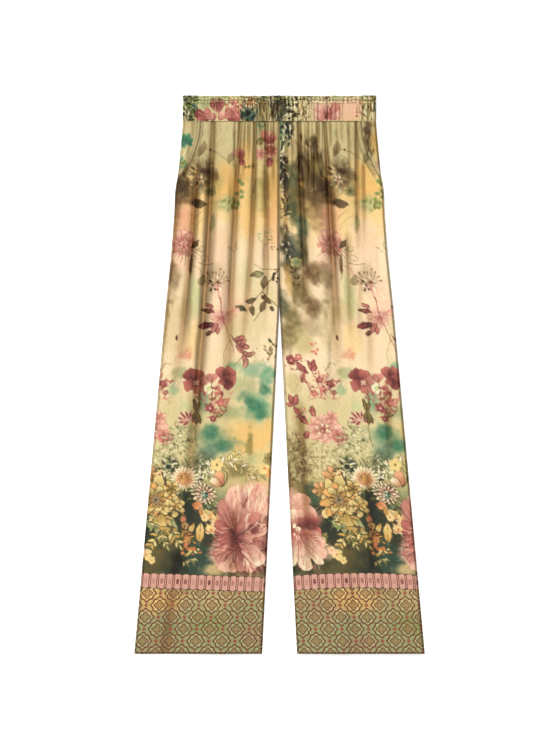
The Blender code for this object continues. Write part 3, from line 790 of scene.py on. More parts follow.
def print_knees(c):
    # open plum flowers and the ghost between them
    petals = ((-44, 28, 24, "dark plum", "plum"), (16, 24, 21, "plum", "rose"),
              (78, 21, 18, "rose", "dusty pink"), (246, 25, 22, "plum", "rose"),
              (166, 24, 22, "rose", "dusty pink"))
    c.fan(-158, 544, petals, "plum", 0.42, PETAL_WIDEST, 4, 0.92)
    c.strokes(-158, 545, range(0, 360, 45), 8, 1.6, "cream", 0.8, 0.2, "dark plum")
    petals = ((-30, 24, 20, "plum", "rose"), (40, 25, 24, "dark plum", "rose"), (96, 22, 20, "plum", "rose"),
              (150, 22, 18, "dark plum", "plum"), (214, 14, 12, "plum", "rose"))
    c.fan(-104, 538, petals, "plum", 0.42, PETAL_WIDEST, 4, 0.92)
    c.spot(-134, 557, 9.5, "cream", 0.75)
    c.spot(-134, 557, 5.5, "pale green", 0.8)
    c.blade(-140, 540, 70, 24, 15, "dusty pink", "pink", "rose", 0.5, 0.5, 3, 0.85)
    c.scatter(-120, 554, 6, 8, 8, 9, 4, ("rose", "plum"))
    # clusters of small leaves and florets
    c.stem([(-128, 540), (-128, 556), (-128, 584), (-132, 606)], 1.2, "umber")
    c.stem([(-104, 556), (-112, 574), (-124, 586)], 1.1, "plum")
    c.stem([(-146, 562), (-140, 572), (-128, 580)], 1.1, "plum")
    c.scatter(-142, 572, 16, 12, 14, 10, 4.2, ("plum", "rose", "dusty pink"), 0, 70, cover=0.75)
    c.scatter(-122, 594, 19, 22, 40, 11, 3.8, ("plum", "rose", "dusty pink", "brown", "plum"), cover=0.7)
    c.scatter(-108, 572, 11, 17, 16, 11, 4.2, ("rose", "plum", "dusty pink"), 20, 60, cover=0.75)
    for x, drop, radius in ((-132, 594, 8), (-112, 584, 7), (-126, 614, 6)):
        c.floret(x, drop, radius, ("plum", "rose")[int(radius) % 2], "pale pink", x)
    leaves = ((-74, 24), (-48, 24), (-100, 22), (-18, 22), (14, 22),
              (46, 22), (74, 22), (100, 20), (-126, 16))
    c.fan(-172, 618, leaves, 7, "rose", "plum", "cream", 0.8, cover=0.95, rib="dark plum")
    leaves = ((180, 26), (160, 24), (206, 20), (20, 20), (-10, 24))
    c.fan(-158, 600, leaves, 7, "olive", "olive brown", "umber", 0.8)
    c.stem([(-150, 560), (-154, 600), (-160, 640), (-156, 668)], 2.0, "olive brown")
    # flowers that the left leg shows whole
    c.floret(-289, 503, 10, "plum", "pink", 10)
    c.floret(-274, 497, 7, "rose", "cream", 40)
    c.dots(-280, 510, 22, 12, 14, 1.7, ("plum", "umber", "rose"))
    c.stem([(-284, 508), (-270, 530), (-262, 556), (-266, 580)], 1.5, "plum")
    c.blade(-280, 506, 140, 32, 11, "rose", "plum", "dark plum", 0.85, rib="dark plum")
    c.blade(-266, 524, 200, 24, 10, "rose", "plum", None, 0.85, rib="dark plum")
    c.fan(-252, 524, ((-12, 22), (16, 24), (40, 16)), 9, "rose", "plum", "dark plum", 0.85, rib="pink")
    c.stem([(-252, 522), (-248, 540), (-240, 552)], 1.2, "plum")
    c.dots(-241, 478, 12, 18, 8, 2.6, ("pink", "coral", "rose"))
    for dx, dd, radius in ((0, 0, 8), (18, 8, 8), (4, 18, 7), (-14, 26, 7), (24, 24, 6)):
        c.floret(-240 + dx, 540 + dd, radius, ("plum", "rose")[int(radius) % 2], "pale pink", dd * 4)
    c.scatter(-236, 550, 28, 26, 40, 9, 3.4, ("plum", "rose", "dusty pink"), cover=0.75)
    c.dots(-236, 552, 30, 24, 12, 1.6, ("plum", "rose"))
    c.stem([(-262, 576), (-236, 574), (-214, 576), (-200, 574)], 1.2, "rose")
    # pale sprays behind the leaves
    c.scatter(-292, 552, 24, 36, 26, 14, 1.4, ("khaki grey", "sage", "dusty pink"), 0, 50, cover=0.5)
    c.scatter(-206, 540, 20, 34, 22, 14, 1.4, ("khaki grey", "sage", "pale green"), 0, 60, cover=0.5)
    c.scatter(-300, 640, 20, 30, 30, 12, 2.0, ("cream", "dusty pink", "khaki grey"), 0, 70, cover=0.6)
    c.stem([(-214, 576), (-208, 588)], 0.9, "rose")
    c.stem([(-226, 524), (-214, 508), (-206, 510)], 1.2, "olive brown")
    leaves = ((-20, 24), (20, 22), (160, 18), (-70, 16))
    c.fan(-294, 590, leaves, 10, "plum", "rose", "dark plum", 0.85, rib="pink")
    c.scatter(-280, 602, 16, 16, 12, 10, 3, ("plum", "pale pink", "rose"))
    leaves = ((-272, 626, -40, 26), (-262, 612, 5, 24), (-276, 636, 200, 18))
    c.blades(leaves, 12, "rose", "plum", "dark plum", 0.85, rib="pale pink")
    # pink peony
    petals = ((9, 1.0, "dusty pink", "pale pink"), (7, 0.72, "rose", "pale pink"), (6, 0.45, "rose", "cream"))
    c.bloom(-246, 635, 35, petals, "rose", 0, 0.2, 0, 0.45, 4)
    c.strokes(-246, 635, range(0, 360, 24), 20, 1.2, "plum", 0.6, 0.1)
    c.bloom(-217, 648, 16, ((5, 1.0, "rose", "pink"),), "rose", 30, 0, 0, 0.42, 2)
    c.bloom(-228, 612, 13, ((5, 1.0, "pink", "pale pink"),), "rose", 0, 0, 0, 0.42, 2)
    c.dots(-242, 634, 9, 7, 14, 1.2, ("cream", "plum", "pale gold"))


def print_shins(c):
    # pale filigree leaves with dark gaps
    for *oval, count, pale, dark in (
            (-192, 652, 28, 26, 100, "pale green", "moss"),
            (-220, 694, 26, 28, 110, "pale green", "olive brown"),
            (-301, 688, 27, 46, 130, "pale khaki", "umber"),
            (-262, 690, 27, 38, 110, "pale khaki", "olive brown"),
            (-164, 704, 24, 26, 90, "sage", "moss"),
            (-196, 730, 20, 20, 50, "pale green", "moss")):
        c.scatter(*oval, count // 2, 10, 1.6, (dark, "olive brown"), seed=1, cover=0.60)
        c.scatter(*oval, count, 9, 2.2, ("cream", pale, pale), seed=2, cover=0.55)
        c.scatter(*oval, count // 2, 7, 1.1, (dark,), seed=3, cover=0.60)
    c.scatter(-206, 702, 12, 12, 26, 9, 3.4, ("black green", "moss", "cream"))
    # dark hollows between the flowers
    c.scatter(-196, 742, 46, 40, 50, 12, 3.4, ("forest", "black green", "leaf green", "cream"))
    # chrysanthemum dome
    petals = ((22, 1.0, "peach", "cream"), (18, 0.82, "orange ochre", "cream"), (14, 0.60, "orange", "peach"),
              (10, 0.36, "gold", "peach"))
    c.bloom(-181, 728, 28, petals, None, 8, 0.15, 0, 0.75, 0, 1.0)
    c.strokes(-181, 728, range(0, 360, 17), 25, 0.9, "brown", 0.55, 0.35)
    c.dots(-181, 726, 7, 7, 14, 1.3, ("orange", "brown", "gold"))
    c.bloom(-242, 724, 20, ((6, 1.0, "orange ochre", "peach"),), "brown", 0, 0.1, 0, 0.45, 4)
    c.bloom(-268, 748, 16, ((6, 1.0, "orange ochre", "peach"),), "brown", 20, 0.1, 0, 0.45, 4)
    c.scatter(-224, 724, 12, 16, 30, 8, 2.0, ("cream", "umber", "pale gold"))
    # ochre rosette
    c.wash(-232, 770, 38, 32, "olive brown", 0.9)
    rings = ((8, 1.0, "olive", "pale gold"), (8, 0.82, "gold", "orange ochre"),
             (7, 0.62, "olive", "pale gold"), (8, 0.42, "orange", "gold"), (7, 0.26, "olive", "gold"))
    c.bloom(-234, 768, 40, rings, "umber", 12, 0, 0, 0.42, 5, 0.95, 0.2)
    c.strokes(-234, 768, range(0, 360, 18), 15, 1.2, "umber", 0.7, 0.2)
    c.strokes(-234, 768, range(9, 369, 24), 12, 1.1, "cream", 0.7, 0.3)
    rings = ((6, 1.0, "olive", "pale gold"), (5, 0.6, "gold", "pale gold"))
    c.bloom(-198, 780, 20, rings, "umber", pointed=0.45, rays=4)
    rings = ((6, 1.0, "gold", "pale gold"), (5, 0.6, "olive", "gold"))
    c.bloom(-205, 748, 17, rings, "umber", 40, pointed=0.45, rays=4)
    c.blade(-230, 794, 165, 34, 28, "gold", "pale gold", "brown", 0.6, 0.5, 4, 1, "gold")
    c.blade(-216, 798, 140, 26, 18, "gold", "pale gold", "brown", 0.6, 0.5, 4, 1, "gold")
    c.blade(-184, 790, 172, 38, 13, "coral", "peach", "umber", 0.7, 0.55, 3, 1, "coral")
    c.blade(-206, 806, 150, 26, 8, "cream", "sage", "moss", 0.9, rib="moss")
    # daisy
    rings = ((15, 1.0, "orange ochre", "cream"), (12, 0.76, "coral", "cream"))
    c.bloom(-143, 756, 25, rings, "umber", 6, 0.08, 0, 0.9, 2)
    c.spot(-143, 758, 7.5, "dark teal")
    c.dots(-143, 758, 6.5, 6.5, 26, 1.2, ("cream", "teal", "cream", "umber"))
    # peach dome and its frill
    c.scatter(-132, 718, 20, 18, 44, 11, 3.0, ("cream", "pale green", "moss", "cream"), -30, 60)
    c.blade(-112, 742, -8, 28, 20, "coral", "peach", "brown", 0.45, 0.6, 4)
    c.blade(-114, 742, -46, 22, 16, "peach", "cream", "brown", 0.45, 0.6, 4)
    c.stem([(-110, 744), (-100, 732), (-101, 716), (-112, 706)], 2.2, "umber")
    # garland
    c.garland([(-128, 698), (-112, 700), (-92, 694), (-74, 706), (-56, 716), (-36, 722), (-8, 716)], 19, 6.5,
              ("cream", "pale gold", "pale olive"), "olive brown", "olive brown", 9, 46)
    twig = [(-62, 714), (-54, 728), (-46, 744)]
    c.garland(twig, 17, 5, ("cream", "pale gold"), "olive brown", "olive", 4, 36)
    c.garland([(-92, 694), (-84, 684), (-70, 680)], 15, 5, ("pale gold", "cream"), "olive", "olive", 3, 40)
    c.floret(-119, 702, 13, "pale gold", "olive", 15)
    c.floret(-28, 708, 13, "pale gold", "orange", 5)
    c.floret(-16, 718, 10, "orange ochre", "orange", 30)
    c.bloom(-20, 690, 12, ((5, 1.0, "olive", "pale olive"),), "olive brown", 20, 0, 0, 0.8)
    # leaves and florets on the dark ground
    leaves = ((-165, 776, 110, 22, 15, "orange", "peach"), (-152, 784, 150, 24, 15, "gold", "orange"),
              (-146, 786, 128, 30, 16, "pale gold", "gold"), (-150, 812, 182, 36, 17, "pale gold", "gold"),
              (-163, 812, 200, 20, 11, "gold", "pale gold"), (-140, 812, 140, 16, 8, "pale gold", "gold"))
    c.blades(leaves, "brown", 0.85, rib="brown")
    c.scatter(-120, 786, 18, 14, 22, 9, 2.0, ("teal", "pale green", "leaf green"), -20, 60)
    for x, drop, radius in ((-120, 806, 11), (-130, 824, 11), (-142, 802, 8)):
        c.floret(x, drop, radius, "pale gold", "orange", x)
    c.stem([(-140, 800), (-128, 812), (-118, 830), (-112, 846)], 1.6, "cream")
    c.stem([(-134, 826), (-122, 840), (-116, 852)], 1.3, "cream")
    # sprays under the rosette
    for points, leaf, width, name, pairs in (
            ([(-210, 820), (-228, 834), (-244, 852), (-252, 872)], 18, 7.5, "gold", 6),
            ([(-214, 820), (-200, 838), (-190, 854)], 20, 8, "gold", 4),
            ([(-222, 824), (-222, 842), (-214, 856)], 16, 6, "olive", 4),
            ([(-256, 818), (-244, 812), (-236, 824)], 17, 8, "sage", 3)):
        c.garland(points, leaf, width, ("pale gold", name), "moss", "pale gold", pairs)
    c.garland([(-268, 830), (-276, 844), (-270, 858)], 10, 4, ("pale gold", "olive"), None, "pale gold", 4)
    for x, drop, radius in ((-252, 873, 10), (-262, 864, 7), (-243, 882, 7)):
        c.floret(x, drop, radius, "pale gold", "orange", x)
    # orange berries
    c.stem([(-182, 816), (-180, 836), (-176, 862)], 1.5, "orange")
    c.garland([(-186, 826), (-176, 836), (-164, 846)], 15, 6, ("orange", "gold"), "umber", "gold", 3)
    c.dots(-176, 858, 14, 18, 26, 2.6, ("orange", "gold", "orange", "coral"))
    c.dots(-160, 868, 14, 8, 12, 2.4, ("orange", "pale gold"))
    c.scatter(-168, 884, 16, 8, 10, 9, 2, ("pale gold", "olive"), 150, 50)
    # dark strokes among the flowers
    c.scatter(-212, 812, 50, 24, 40, 12, 2.6, ("forest", "black green", "leaf green"), cover=0.7)


def print_peony(c):
    """The large peony at the right leg's inseam side."""
    x, drop = -80, 842
    # soft brushwork behind it
    c.wash(-62, 800, 44, 46, "dusty pink", 0.9)
    c.wash(-50, 762, 38, 30, "pale pink", 0.9)
    c.wash(-112, 872, 26, 30, "pale pink", 0.9)
    c.wash(-126, 900, 20, 12, "pale ochre", 0.7)
    c.wash(-56, 892, 44, 18, "plum", 0.85)
    c.wash(-106, 794, 13, 26, "plum", 0.8)
    c.wash(-40, 840, 24, 40, "rose", 0.6)
    petals = ((-4, 100, 36, "rose", "pale pink"), (18, 100, 40, "dusty pink", "pale pink"),
              (38, 92, 36, "dusty pink", "pale pink"), (-24, 80, 28, "plum", "dusty pink"),
              (206, 68, 40, "plum", "pale pink"), (226, 58, 30, "plum", "dusty pink"),
              (190, 66, 30, "rose", "pale pink"))
    c.fan(x, drop, petals, None, 0.5, PETAL_WIDEST, 6, 0.6)
    c.strokes(x, drop, range(-62, 46, 6), 88, 3.0, "rose", 0.30, 0.25)
    c.strokes(x, drop, range(-58, 44, 9), 78, 1.6, "pale pink", 0.55, 0.3)
    c.strokes(x, drop, range(186, 250, 6), 60, 2.6, "plum", 0.40, 0.1)
    c.strokes(x, drop, range(189, 250, 9), 64, 1.6, "cream", 0.45, 0.4)
    # dark petals at its left
    petals = ((-52, 54, 20), (-70, 46, 17), (-88, 38, 16), (-108, 36, 15), (-128, 40, 16))
    c.fan(x, drop, petals, "dark plum", "rose", "plum", 0.6, 0.6, 4, 0.85)
    c.strokes(x, drop, range(-130, -44, 9), 40, 1.3, "pink", 0.7, 0.2)
    # pale petals with dark outlines at its right
    c.blades((
            (-84, 838, 22, 48, 26, "plum", "dusty pink"), (-82, 836, 46, 54, 30, "rose", "pale pink"),
            (-80, 838, 74, 58, 30, "dusty pink", "pale pink"), (-80, 842, 100, 60, 30, "pink", "pale pink"),
            (-82, 846, 126, 68, 32, "dusty pink", "pale pink"), (-84, 848, 148, 66, 28, "pink", "pale pink"),
            (-84, 848, 170, 58, 24, "plum", "dusty pink"), (-58, 820, 36, 32, 20, "rose", "pink"),
            (-54, 830, 66, 28, 18, "plum", "pale pink"), (-52, 844, 104, 34, 20, "rose", "pale pink"),
            (-60, 868, 138, 34, 18, "pink", "cream")), "plum", 0.45, PETAL_WIDEST, 5, 0.9)
    c.wash(-66, 772, 7, 15, "plum", 0.9)
    c.strokes(-66, 786, (-16, -4, 8, 20), 30, 1.8, "dark plum", 0.5)
    c.wash(-50, 824, 9, 7, "dark plum", 0.8)
    c.wash(-28, 856, 7, 16, "dark plum", 0.7)
    c.wash(-84, 838, 12, 10, "dark plum", 0.75)
    c.scatter(-50, 822, 16, 12, 24, 9, 2.0, ("dark plum", "pale pink", "plum"))
    # brushwork over the petals
    c.scatter(-56, 794, 34, 40, 64, 24, 3.2, ("pale pink", "rose", "cream", "dusty pink"), 14, 34, cover=0.5)
    c.scatter(-106, 848, 26, 32, 40, 20, 3.0, ("plum", "pale pink", "dark plum", "rose"), -110, 50, cover=0.5)
    c.scatter(-62, 880, 38, 20, 40, 18, 3.0, ("pale pink", "plum", "cream"), 160, 40, cover=0.5)
    for points in (
            ((-84, 840), (-64, 826), (-46, 812), (-34, 796)),
            ((-80, 842), (-58, 852), (-38, 846), (-22, 860)),
            ((-80, 844), (-74, 868), (-58, 886), (-50, 904)),
            ((-40, 846), (-34, 866), (-22, 880))):
        c.stem(points, 1.7, "dark plum", 0.8)


def print_inseam_peony(c):
    """The peony that the left leg shows beside its inseam."""
    x, drop = -322, 820
    c.wash(-322, 790, 26, 34, "pink", 0.95)
    c.wash(-300, 806, 26, 22, "pink", 0.85)
    c.wash(-326, 768, 16, 20, "pale pink", 0.8)
    petals = (
        (12, 66, 40, "pink", "pale pink"), (40, 52, 34, "rose", "pale pink"),
        (-20, 64, 36, "pink", "pale pink"),
        (64, 44, 26, "plum", "pink"), (104, 46, 30, "plum", "rose"), (126, 60, 32, "rose", "pale pink"),
        (172, 84, 30, "pink", "cream"), (196, 80, 30, "pink", "cream"), (150, 80, 26, "dusty pink", "cream"),
        (138, 74, 20, "rose", "pale pink"), (220, 60, 28, "rose", "pale pink"), (240, 50, 24, "rose", "pink"),
        (20, 36, 22, "rose", "pale pink"), (-10, 34, 20, "pink", "cream"), (90, 30, 18, "plum", "pale pink"),
    )
    c.fan(x, drop, petals, "rose", 0.45, PETAL_WIDEST, 5, 0.85, bend=0.05)
    c.strokes(x, drop, range(-40, 70, 7), 60, 2.0, "pale pink", 0.45, 0.35)
    c.wash(-296, 816, 18, 9, "dark plum", 0.75)
    c.wash(-304, 806, 20, 7, "plum", 0.7)
    for turn in (92, 102, 112, 122, 132, 142, 152):
        dx, dd = math.sin(math.radians(turn)), -math.cos(math.radians(turn))
        c.stem([(x + 8 * dx, drop + 14 + 8 * dd), (x + 40 * dx, drop + 14 + 36 * dd)], 1.6, "plum", 0.7)
        c.stem([(x + 8 * dx, drop + 17 + 8 * dd), (x + 38 * dx, drop + 17 + 36 * dd)], 1.3, "pale pink", 0.8)
    c.dots(-326, 828, 9, 14, 10, 3.2, ("cream", "pale pink"))
    c.scatter(-304, 856, 24, 36, 40, 22, 2.6, ("cream", "rose", "pale pink"), 160, 30, cover=0.45)
    c.wash(-272, 868, 18, 12, "pale pink", 0.7)
    c.stem([(-322, 824), (-310, 860), (-286, 890)], 1.5, "plum")
    c.stem([(-322, 824), (-324, 860), (-332, 900)], 1.5, "plum")


def print_legs(canvas):
    canvas.ground(GROUND)
    for wash in WASHES:
        canvas.wash(*wash)
    print_hips(canvas)
    print_thighs(canvas)
    print_knees(canvas)
    print_shins(canvas)
    print_peony(canvas)
    print_inseam_peony(canvas)


def print_facing(canvas, leg):
    canvas.ground(((0, "khaki"), (120, "pale khaki"), (170, "khaki grey"), (300, "khaki")))
    if leg == "right":
        for turn in (-60, -20, 30, 80, 130, 190, 240):
            canvas.blade(-178, 86, turn, 15, 9, "deep teal", "teal", None, 0.6)
        canvas.garland([(-180, 142), (-184, 128), (-192, 118)], 12, 6, ("leaf green", "teal"))
        canvas.wash(-186, 160, 16, 12, "brown", 0.7)
    else:
        # painted shade: the umber strip just beside the mouth's edge darkens the facing where shade falls
        # under the lip
        canvas.wash(168, 78, 8, 28, "umber", 0.8)
        canvas.wash(181, 92, 8, 28, "gold", 0.75)
        canvas.scatter(172, 84, 8, 24, 10, 14, 2, ("umber", "khaki"), 180, 20, cover=0.6)
        canvas.wash(190, 128, 6, 12, "plum", 0.4)


def print_band(canvas):
    """The waistband: flowers at its right, dark foliage in the middle and flowers at its left."""
    c = canvas
    c.ground(((0, "pale green"), (49, "pale khaki")))
    for wash in (
            Wash(-172, 24, 14, 26, "moss", 0.75), Wash(-120, 28, 30, 26, "pale khaki", 0.8),
            Wash(-141, 18, 9, 9, "sage", 0.9), Wash(-58, 38, 17, 12, "black green", 0.95),
            Wash(-56, 12, 14, 12, "pale ochre", 0.8), Wash(-82, 12, 12, 12, "pale gold", 0.8),
            Wash(-30, 24, 13, 32, "olive brown", 0.9), Wash(0, 24, 13, 32, "black green", 0.95),
            Wash(-26, 24, 4, 30, "khaki", 0.6), Wash(-12, 34, 4, 18, "brown", 0.9),
            Wash(22, 26, 7, 26, "sage", 0.7), Wash(44, 24, 15, 28, "pale khaki", 0.9),
            Wash(84, 28, 26, 26, "pale pink", 0.7), Wash(134, 28, 24, 28, "peach", 0.7),
            Wash(134, 28, 20, 24, "pale pink", 0.75), Wash(172, 24, 12, 28, "khaki", 0.9)):
        c.wash(*wash)
    # wrap at the right side
    c.scatter(-171, 22, 13, 20, 46, 14, 4.5, ("forest", "grey teal", "leaf green", "cream", "black green"))
    c.scatter(-170, 44, 12, 6, 14, 10, 4, ("pale khaki", "moss", "khaki"))
    # pink and plum flowers
    c.blades((
            (-134, 46, -62, 30, 17, "rose", "plum"), (-134, 48, -90, 24, 13, "plum", "rose"),
            (-130, 46, -28, 22, 14, "dusty pink", "rose"), (-98, 46, 66, 28, 17, "rose", "dusty pink"),
            (-96, 48, 92, 22, 12, "plum", "rose"), (-104, 44, 34, 24, 14, "pink", "rose"),
            (-92, 32, 30, 22, 12, "rose", "pink"), (-84, 28, 60, 16, 10, "pink", "rose"),
            (-118, 32, -26, 24, 13, "rose", "plum"), (-118, 32, 26, 25, 14, "plum", "rose"),
            (-118, 33, 0, 27, 15, "dark plum", "plum"), (-114, 48, 20, 18, 14, "rose", "pale pink"),
            (-124, 49, -14, 16, 13, "plum", "pink")), "plum", 0.5, PETAL_WIDEST, 4)
    c.strokes(-118, 34, (-30, -14, 2, 16, 32), 24, 1.2, "pink", 0.8)
    c.strokes(-124, 46, (-84, -66, -46, -28, 44, 62, 80, 98), 28, 1.1, "pale pink", 0.7)
    c.scatter(-88, 22, 12, 12, 30, 9, 2.2, ("pink", "rose", "cream", "plum"))
    # dark foliage and the ochre flower over it
    c.scatter(-58, 38, 15, 8, 30, 12, 4.0, ("black green", "dark teal", "grey teal", "forest"))
    rings = ((13, 1.0, "orange ochre", "cream"), (9, 0.6, "orange", "pale ochre"))
    c.bloom(-56, 12, 16, rings, "umber", 0, 0.1, 0, 0.8)
    names = ("umber", "olive", "black green", "khaki", "umber", "brown")
    c.scatter(-12, 26, 28, 24, 80, 18, 2.2, names, 0, 20)
    c.scatter(-10, 8, 28, 8, 30, 9, 3.0, ("forest", "sage", "umber", "cream"), 0, 120)
    c.scatter(22, 26, 12, 22, 44, 10, 3.0, ("umber", "forest", "cream"))
    c.scatter(46, 24, 16, 24, 60, 11, 1.8, ("umber", "cream", "brown", "pale ochre"))
    # flower at the left
    c.blades((
            (90, 46, -34, 32, 19, "pink", "pale pink"), (88, 46, -62, 24, 15, "pink", "pale pink"),
            (92, 48, -6, 30, 14, "rose", "pale pink"), (92, 46, 34, 34, 18, "rose", "pink"),
            (94, 46, 60, 26, 14, "pink", "pale pink")), "rose", 0.5, PETAL_WIDEST, 4)
    c.strokes(88, 48, (-10, 0, 10, 22), 26, 1.4, "dark plum", 0.8)
    c.dots(148, 26, 8, 16, 18, 1.5, ("brown", "coral", "rose"))
    c.scatter(172, 24, 14, 24, 36, 14, 3.0, ("olive", "khaki", "moss", "cream", "brown"), 0, 60)
    # the frill's own pale and dark leaves
    for x in range(-180, 184, 13):
        c.scatter(x, 4, 7, 5, 5, 8, 2.6, ("umber", "cream", "olive", "sage")[x % 4:] + ("cream",), cover=0.8)


# ---------------------------------------------------------------------------------------------
# Heights of the front panels
# ---------------------------------------------------------------------------------------------
def fold_line(fold, share):
    """How far from the middle line a fold runs, at a share of its length."""
    return (fold.out_top * (1 - share) * (1 - 2 * share) + fold.out_mid * 4 * share * (1 - share)
            + fold.out_low * share * (2 * share - 1))


def fold_height(leg, out, drop):
    """Sum of the folds at a place, and how near the bottom of a trough it is, from 0 to 1, which sets how
    much shade is painted there.

    Ridges are round, and troughs are narrow at the bottom.
    """
    total, painted_shade = np.zeros_like(out), np.zeros_like(out)
    for fold in (*FOLDS[leg], *small_pleats(leg)):
        length = fold.to_drop - fold.from_drop
        first = FOLD_START_HEIGHT if fold.from_drop < BAND_DEPTH + 0.003 else 0.0
        starts = mix(first, 1.0, ease((drop - fold.from_drop) / (FOLD_START * length)))
        to_hem = fold.to_drop > LENGTH - 0.001
        fades = 1.0 if to_hem else ease((fold.to_drop - drop) / (FOLD_FADE * length))
        share = np.clip((drop - fold.from_drop) / length, 0, 1)
        away = (out - fold_line(fold, share)) / mix(fold.wide_top, fold.wide_low, share)
        if fold.height > 0:
            total += fold.height * starts * fades * swell(away, 1.0)
            continue
        depth = starts * fades * mix(1.0, LOW_END_DEPTH, share)
        total += fold.height * depth * np.exp(TROUGH_FALL * (TROUGH_ROUND - np.hypot(away, TROUGH_ROUND)))
        # painted shade: darkest along a trough's bottom, fading out to its sides
        dark = mix(swell(away, PAINTED_SHADE_WIDE), swell(away, PAINTED_CORE_WIDE), PAINTED_SHADE_CORE)
        painted_shade = np.maximum(painted_shade, min(1.0, -fold.height / PAINTED_SHADE_FULL_DEPTH) * depth * dark)
    return total, painted_shade


def small_pleats(leg):
    """Small seeded troughs that start at the waistband's seam."""
    seed, limit = SMALL_PLEATS[leg]
    random = np.random.default_rng(seed)
    out, made = 0.006, []
    while out < limit:
        low_end = BAND_DEPTH + random.uniform(0.04, 0.14)
        moved = out + random.uniform(-0.002, 0.002)
        narrow, depth = random.uniform(0.0026, 0.0038), random.uniform(0.00070, 0.00147)
        made.append(Fold(BAND_DEPTH, low_end, out, moved, moved, narrow + 0.0014, 1.43 * narrow, -depth))
        out += random.uniform(0.008, 0.014)
    return made


def lowest_height(out, drop):
    """How low a front panel may come: less low where it lies over a pocket."""
    over_pocket = ease((out - BAG_INNER_OUT + 0.020) / 0.015) * ease((BAG_LOW + 0.030 - drop) / 0.025)
    return mix(LOWEST, LOWEST_ON_POCKET, over_pocket)


def front_height(leg, out, drop):
    """Upper face of a front panel."""
    seed = 50 if leg == "right" else 60
    level = front_rise(drop) + fold_height(leg, out, drop)[0]
    level = level + 0.0006 * cloudy(out / 0.030, drop / 0.160, seed)
    level = level + 0.00022 * cloudy(out / 0.009, drop / 0.060, seed + 1)
    level = level + mouth_hem(out, drop)
    lowest = lowest_height(out, drop)
    level = lowest + np.logaddexp(0, (level - lowest) / LOWEST_SOFT) * LOWEST_SOFT
    turned_under = ease((drop - CROTCH_FROM) / (CROTCH_TO - CROTCH_FROM))
    from_inner = out - inner_line(drop)
    at_inner = mix(1.0 - 0.45 * swell(from_inner, 0.0026), roll(from_inner), turned_under)
    return EDGE_FOOT + (level - EDGE_FOOT) * at_inner * roll(side_line(drop) - out)


def mouth_hem(out, drop):
    """The turned and stitched edge of the pocket mouth stands up from the panel."""
    from_mouth = pocket_mouth(drop) - out
    lip = 0.0012 * swell(from_mouth - 0.0030, 0.0028) - 0.0010 * swell(from_mouth - 0.0085, 0.0022)
    edge = -0.0016 * swell(from_mouth, 0.0012)
    return (lip + edge) * ease((POCKET_LOW - drop) / 0.020)


# ---------------------------------------------------------------------------------------------
# Sheets from grids of points
# ---------------------------------------------------------------------------------------------
INK = 0.50  # how much light the printed cloth reflects, against its colours as they look on the white table


def linear(colour):
    colour = np.clip(colour, 0, 1)
    return np.where(colour <= 0.04045, colour / 12.92, ((colour + 0.055) / 1.055) ** 2.4)


BORDER_TOP = {"right": lambda x: 907 + 0.036 * (x + 261), "left": lambda x: 907.3 + 0.00033 * (x - 150) ** 2}
BORDER_PHASE = {"right": (228.0, 0.0955), "left": (-40.0, -0.08)}
LATTICE_ROW = 968  # drop of the first whole row of medallions


def border_place(leg, x, drop):
    """Where a point lies in the border: along its beads, below its top edge and below the first row."""
    phase, tilt = BORDER_PHASE[leg]
    below_row = drop - LATTICE_ROW
    return np.stack([x + phase + tilt * below_row, drop - BORDER_TOP[leg](x), below_row], -1)


CONTRAST, CONTRAST_PIVOT, VIVIDNESS = 1.14, 0.80, 0.95


def richer(colour):
    """Darker darks, against the light that the satin's gloss adds."""
    grey = colour.mean(axis=-1, keepdims=True)
    return CONTRAST_PIVOT + CONTRAST * (grey + VIVIDNESS * (colour - grey) - CONTRAST_PIVOT)


def sheet(name, points, finish, canvas, border=None):
    """A cloth object through rows of points, with the print's colour at each.

    The rows run down the garment and each row runs towards +X, so that the faces look up.
    """
    rows, columns = points.shape[:2]
    corner = np.arange(rows * columns).reshape(rows, columns)
    quads = np.stack([corner[:-1, :-1], corner[1:, :-1], corner[1:, 1:], corner[:-1, 1:]], -1)
    mesh = bpy.data.meshes.new(name)
    mesh.from_pydata(points.reshape(-1, 3).tolist(), [], quads.reshape(-1, 4).tolist())
    mesh.shade_smooth()
    mesh.materials.append(finish)
    colour = np.ones((rows, columns, 4))
    colour[..., :3] = INK * linear(richer(canvas.colour))
    mesh.attributes.new("print", "FLOAT_COLOR", "POINT").data.foreach_set("color", colour.ravel())
    if border is None:
        border = np.full(points.shape, -1000.0)
    mesh.attributes.new("border", "FLOAT_VECTOR", "POINT").data.foreach_set("vector", border.ravel())
    obj = bpy.data.objects.new(name, mesh)
    bpy.context.scene.collection.objects.link(obj)
    return obj


def leg_sheet(name, leg, out, drop, height, finish, painter, border=False, folded=False):
    """A sheet on one leg from arrays of places out, drops and heights."""
    side = SIDES[leg]
    painted_shade = fold_height(leg, out, drop)[1] if folded else np.zeros_like(out)
    x = side * out
    if side < 0:
        x, drop, height, painted_shade = x[:, ::-1], drop[:, ::-1], height[:, ::-1], painted_shade[:, ::-1]
    points = np.stack([x, WAIST_Y - drop, np.maximum(height, TABLE_GAP)], -1)
    x_mm, drop_mm = 1000 * x, 1000 * drop
    shift = print_shift(drop_mm) if leg == "left" and painter is print_legs else 0.0
    canvas = Canvas(x_mm - shift, drop_mm)
    painter(canvas)
    # painted shade: the print darkens towards the bottoms of the troughs, where shade falls
    canvas.colour *= 1 - np.array(PAINTED_SHADE_RGB) * painted_shade[..., None]
    return sheet(name, points, finish, canvas, border_place(leg, x_mm, drop_mm) if border else None)


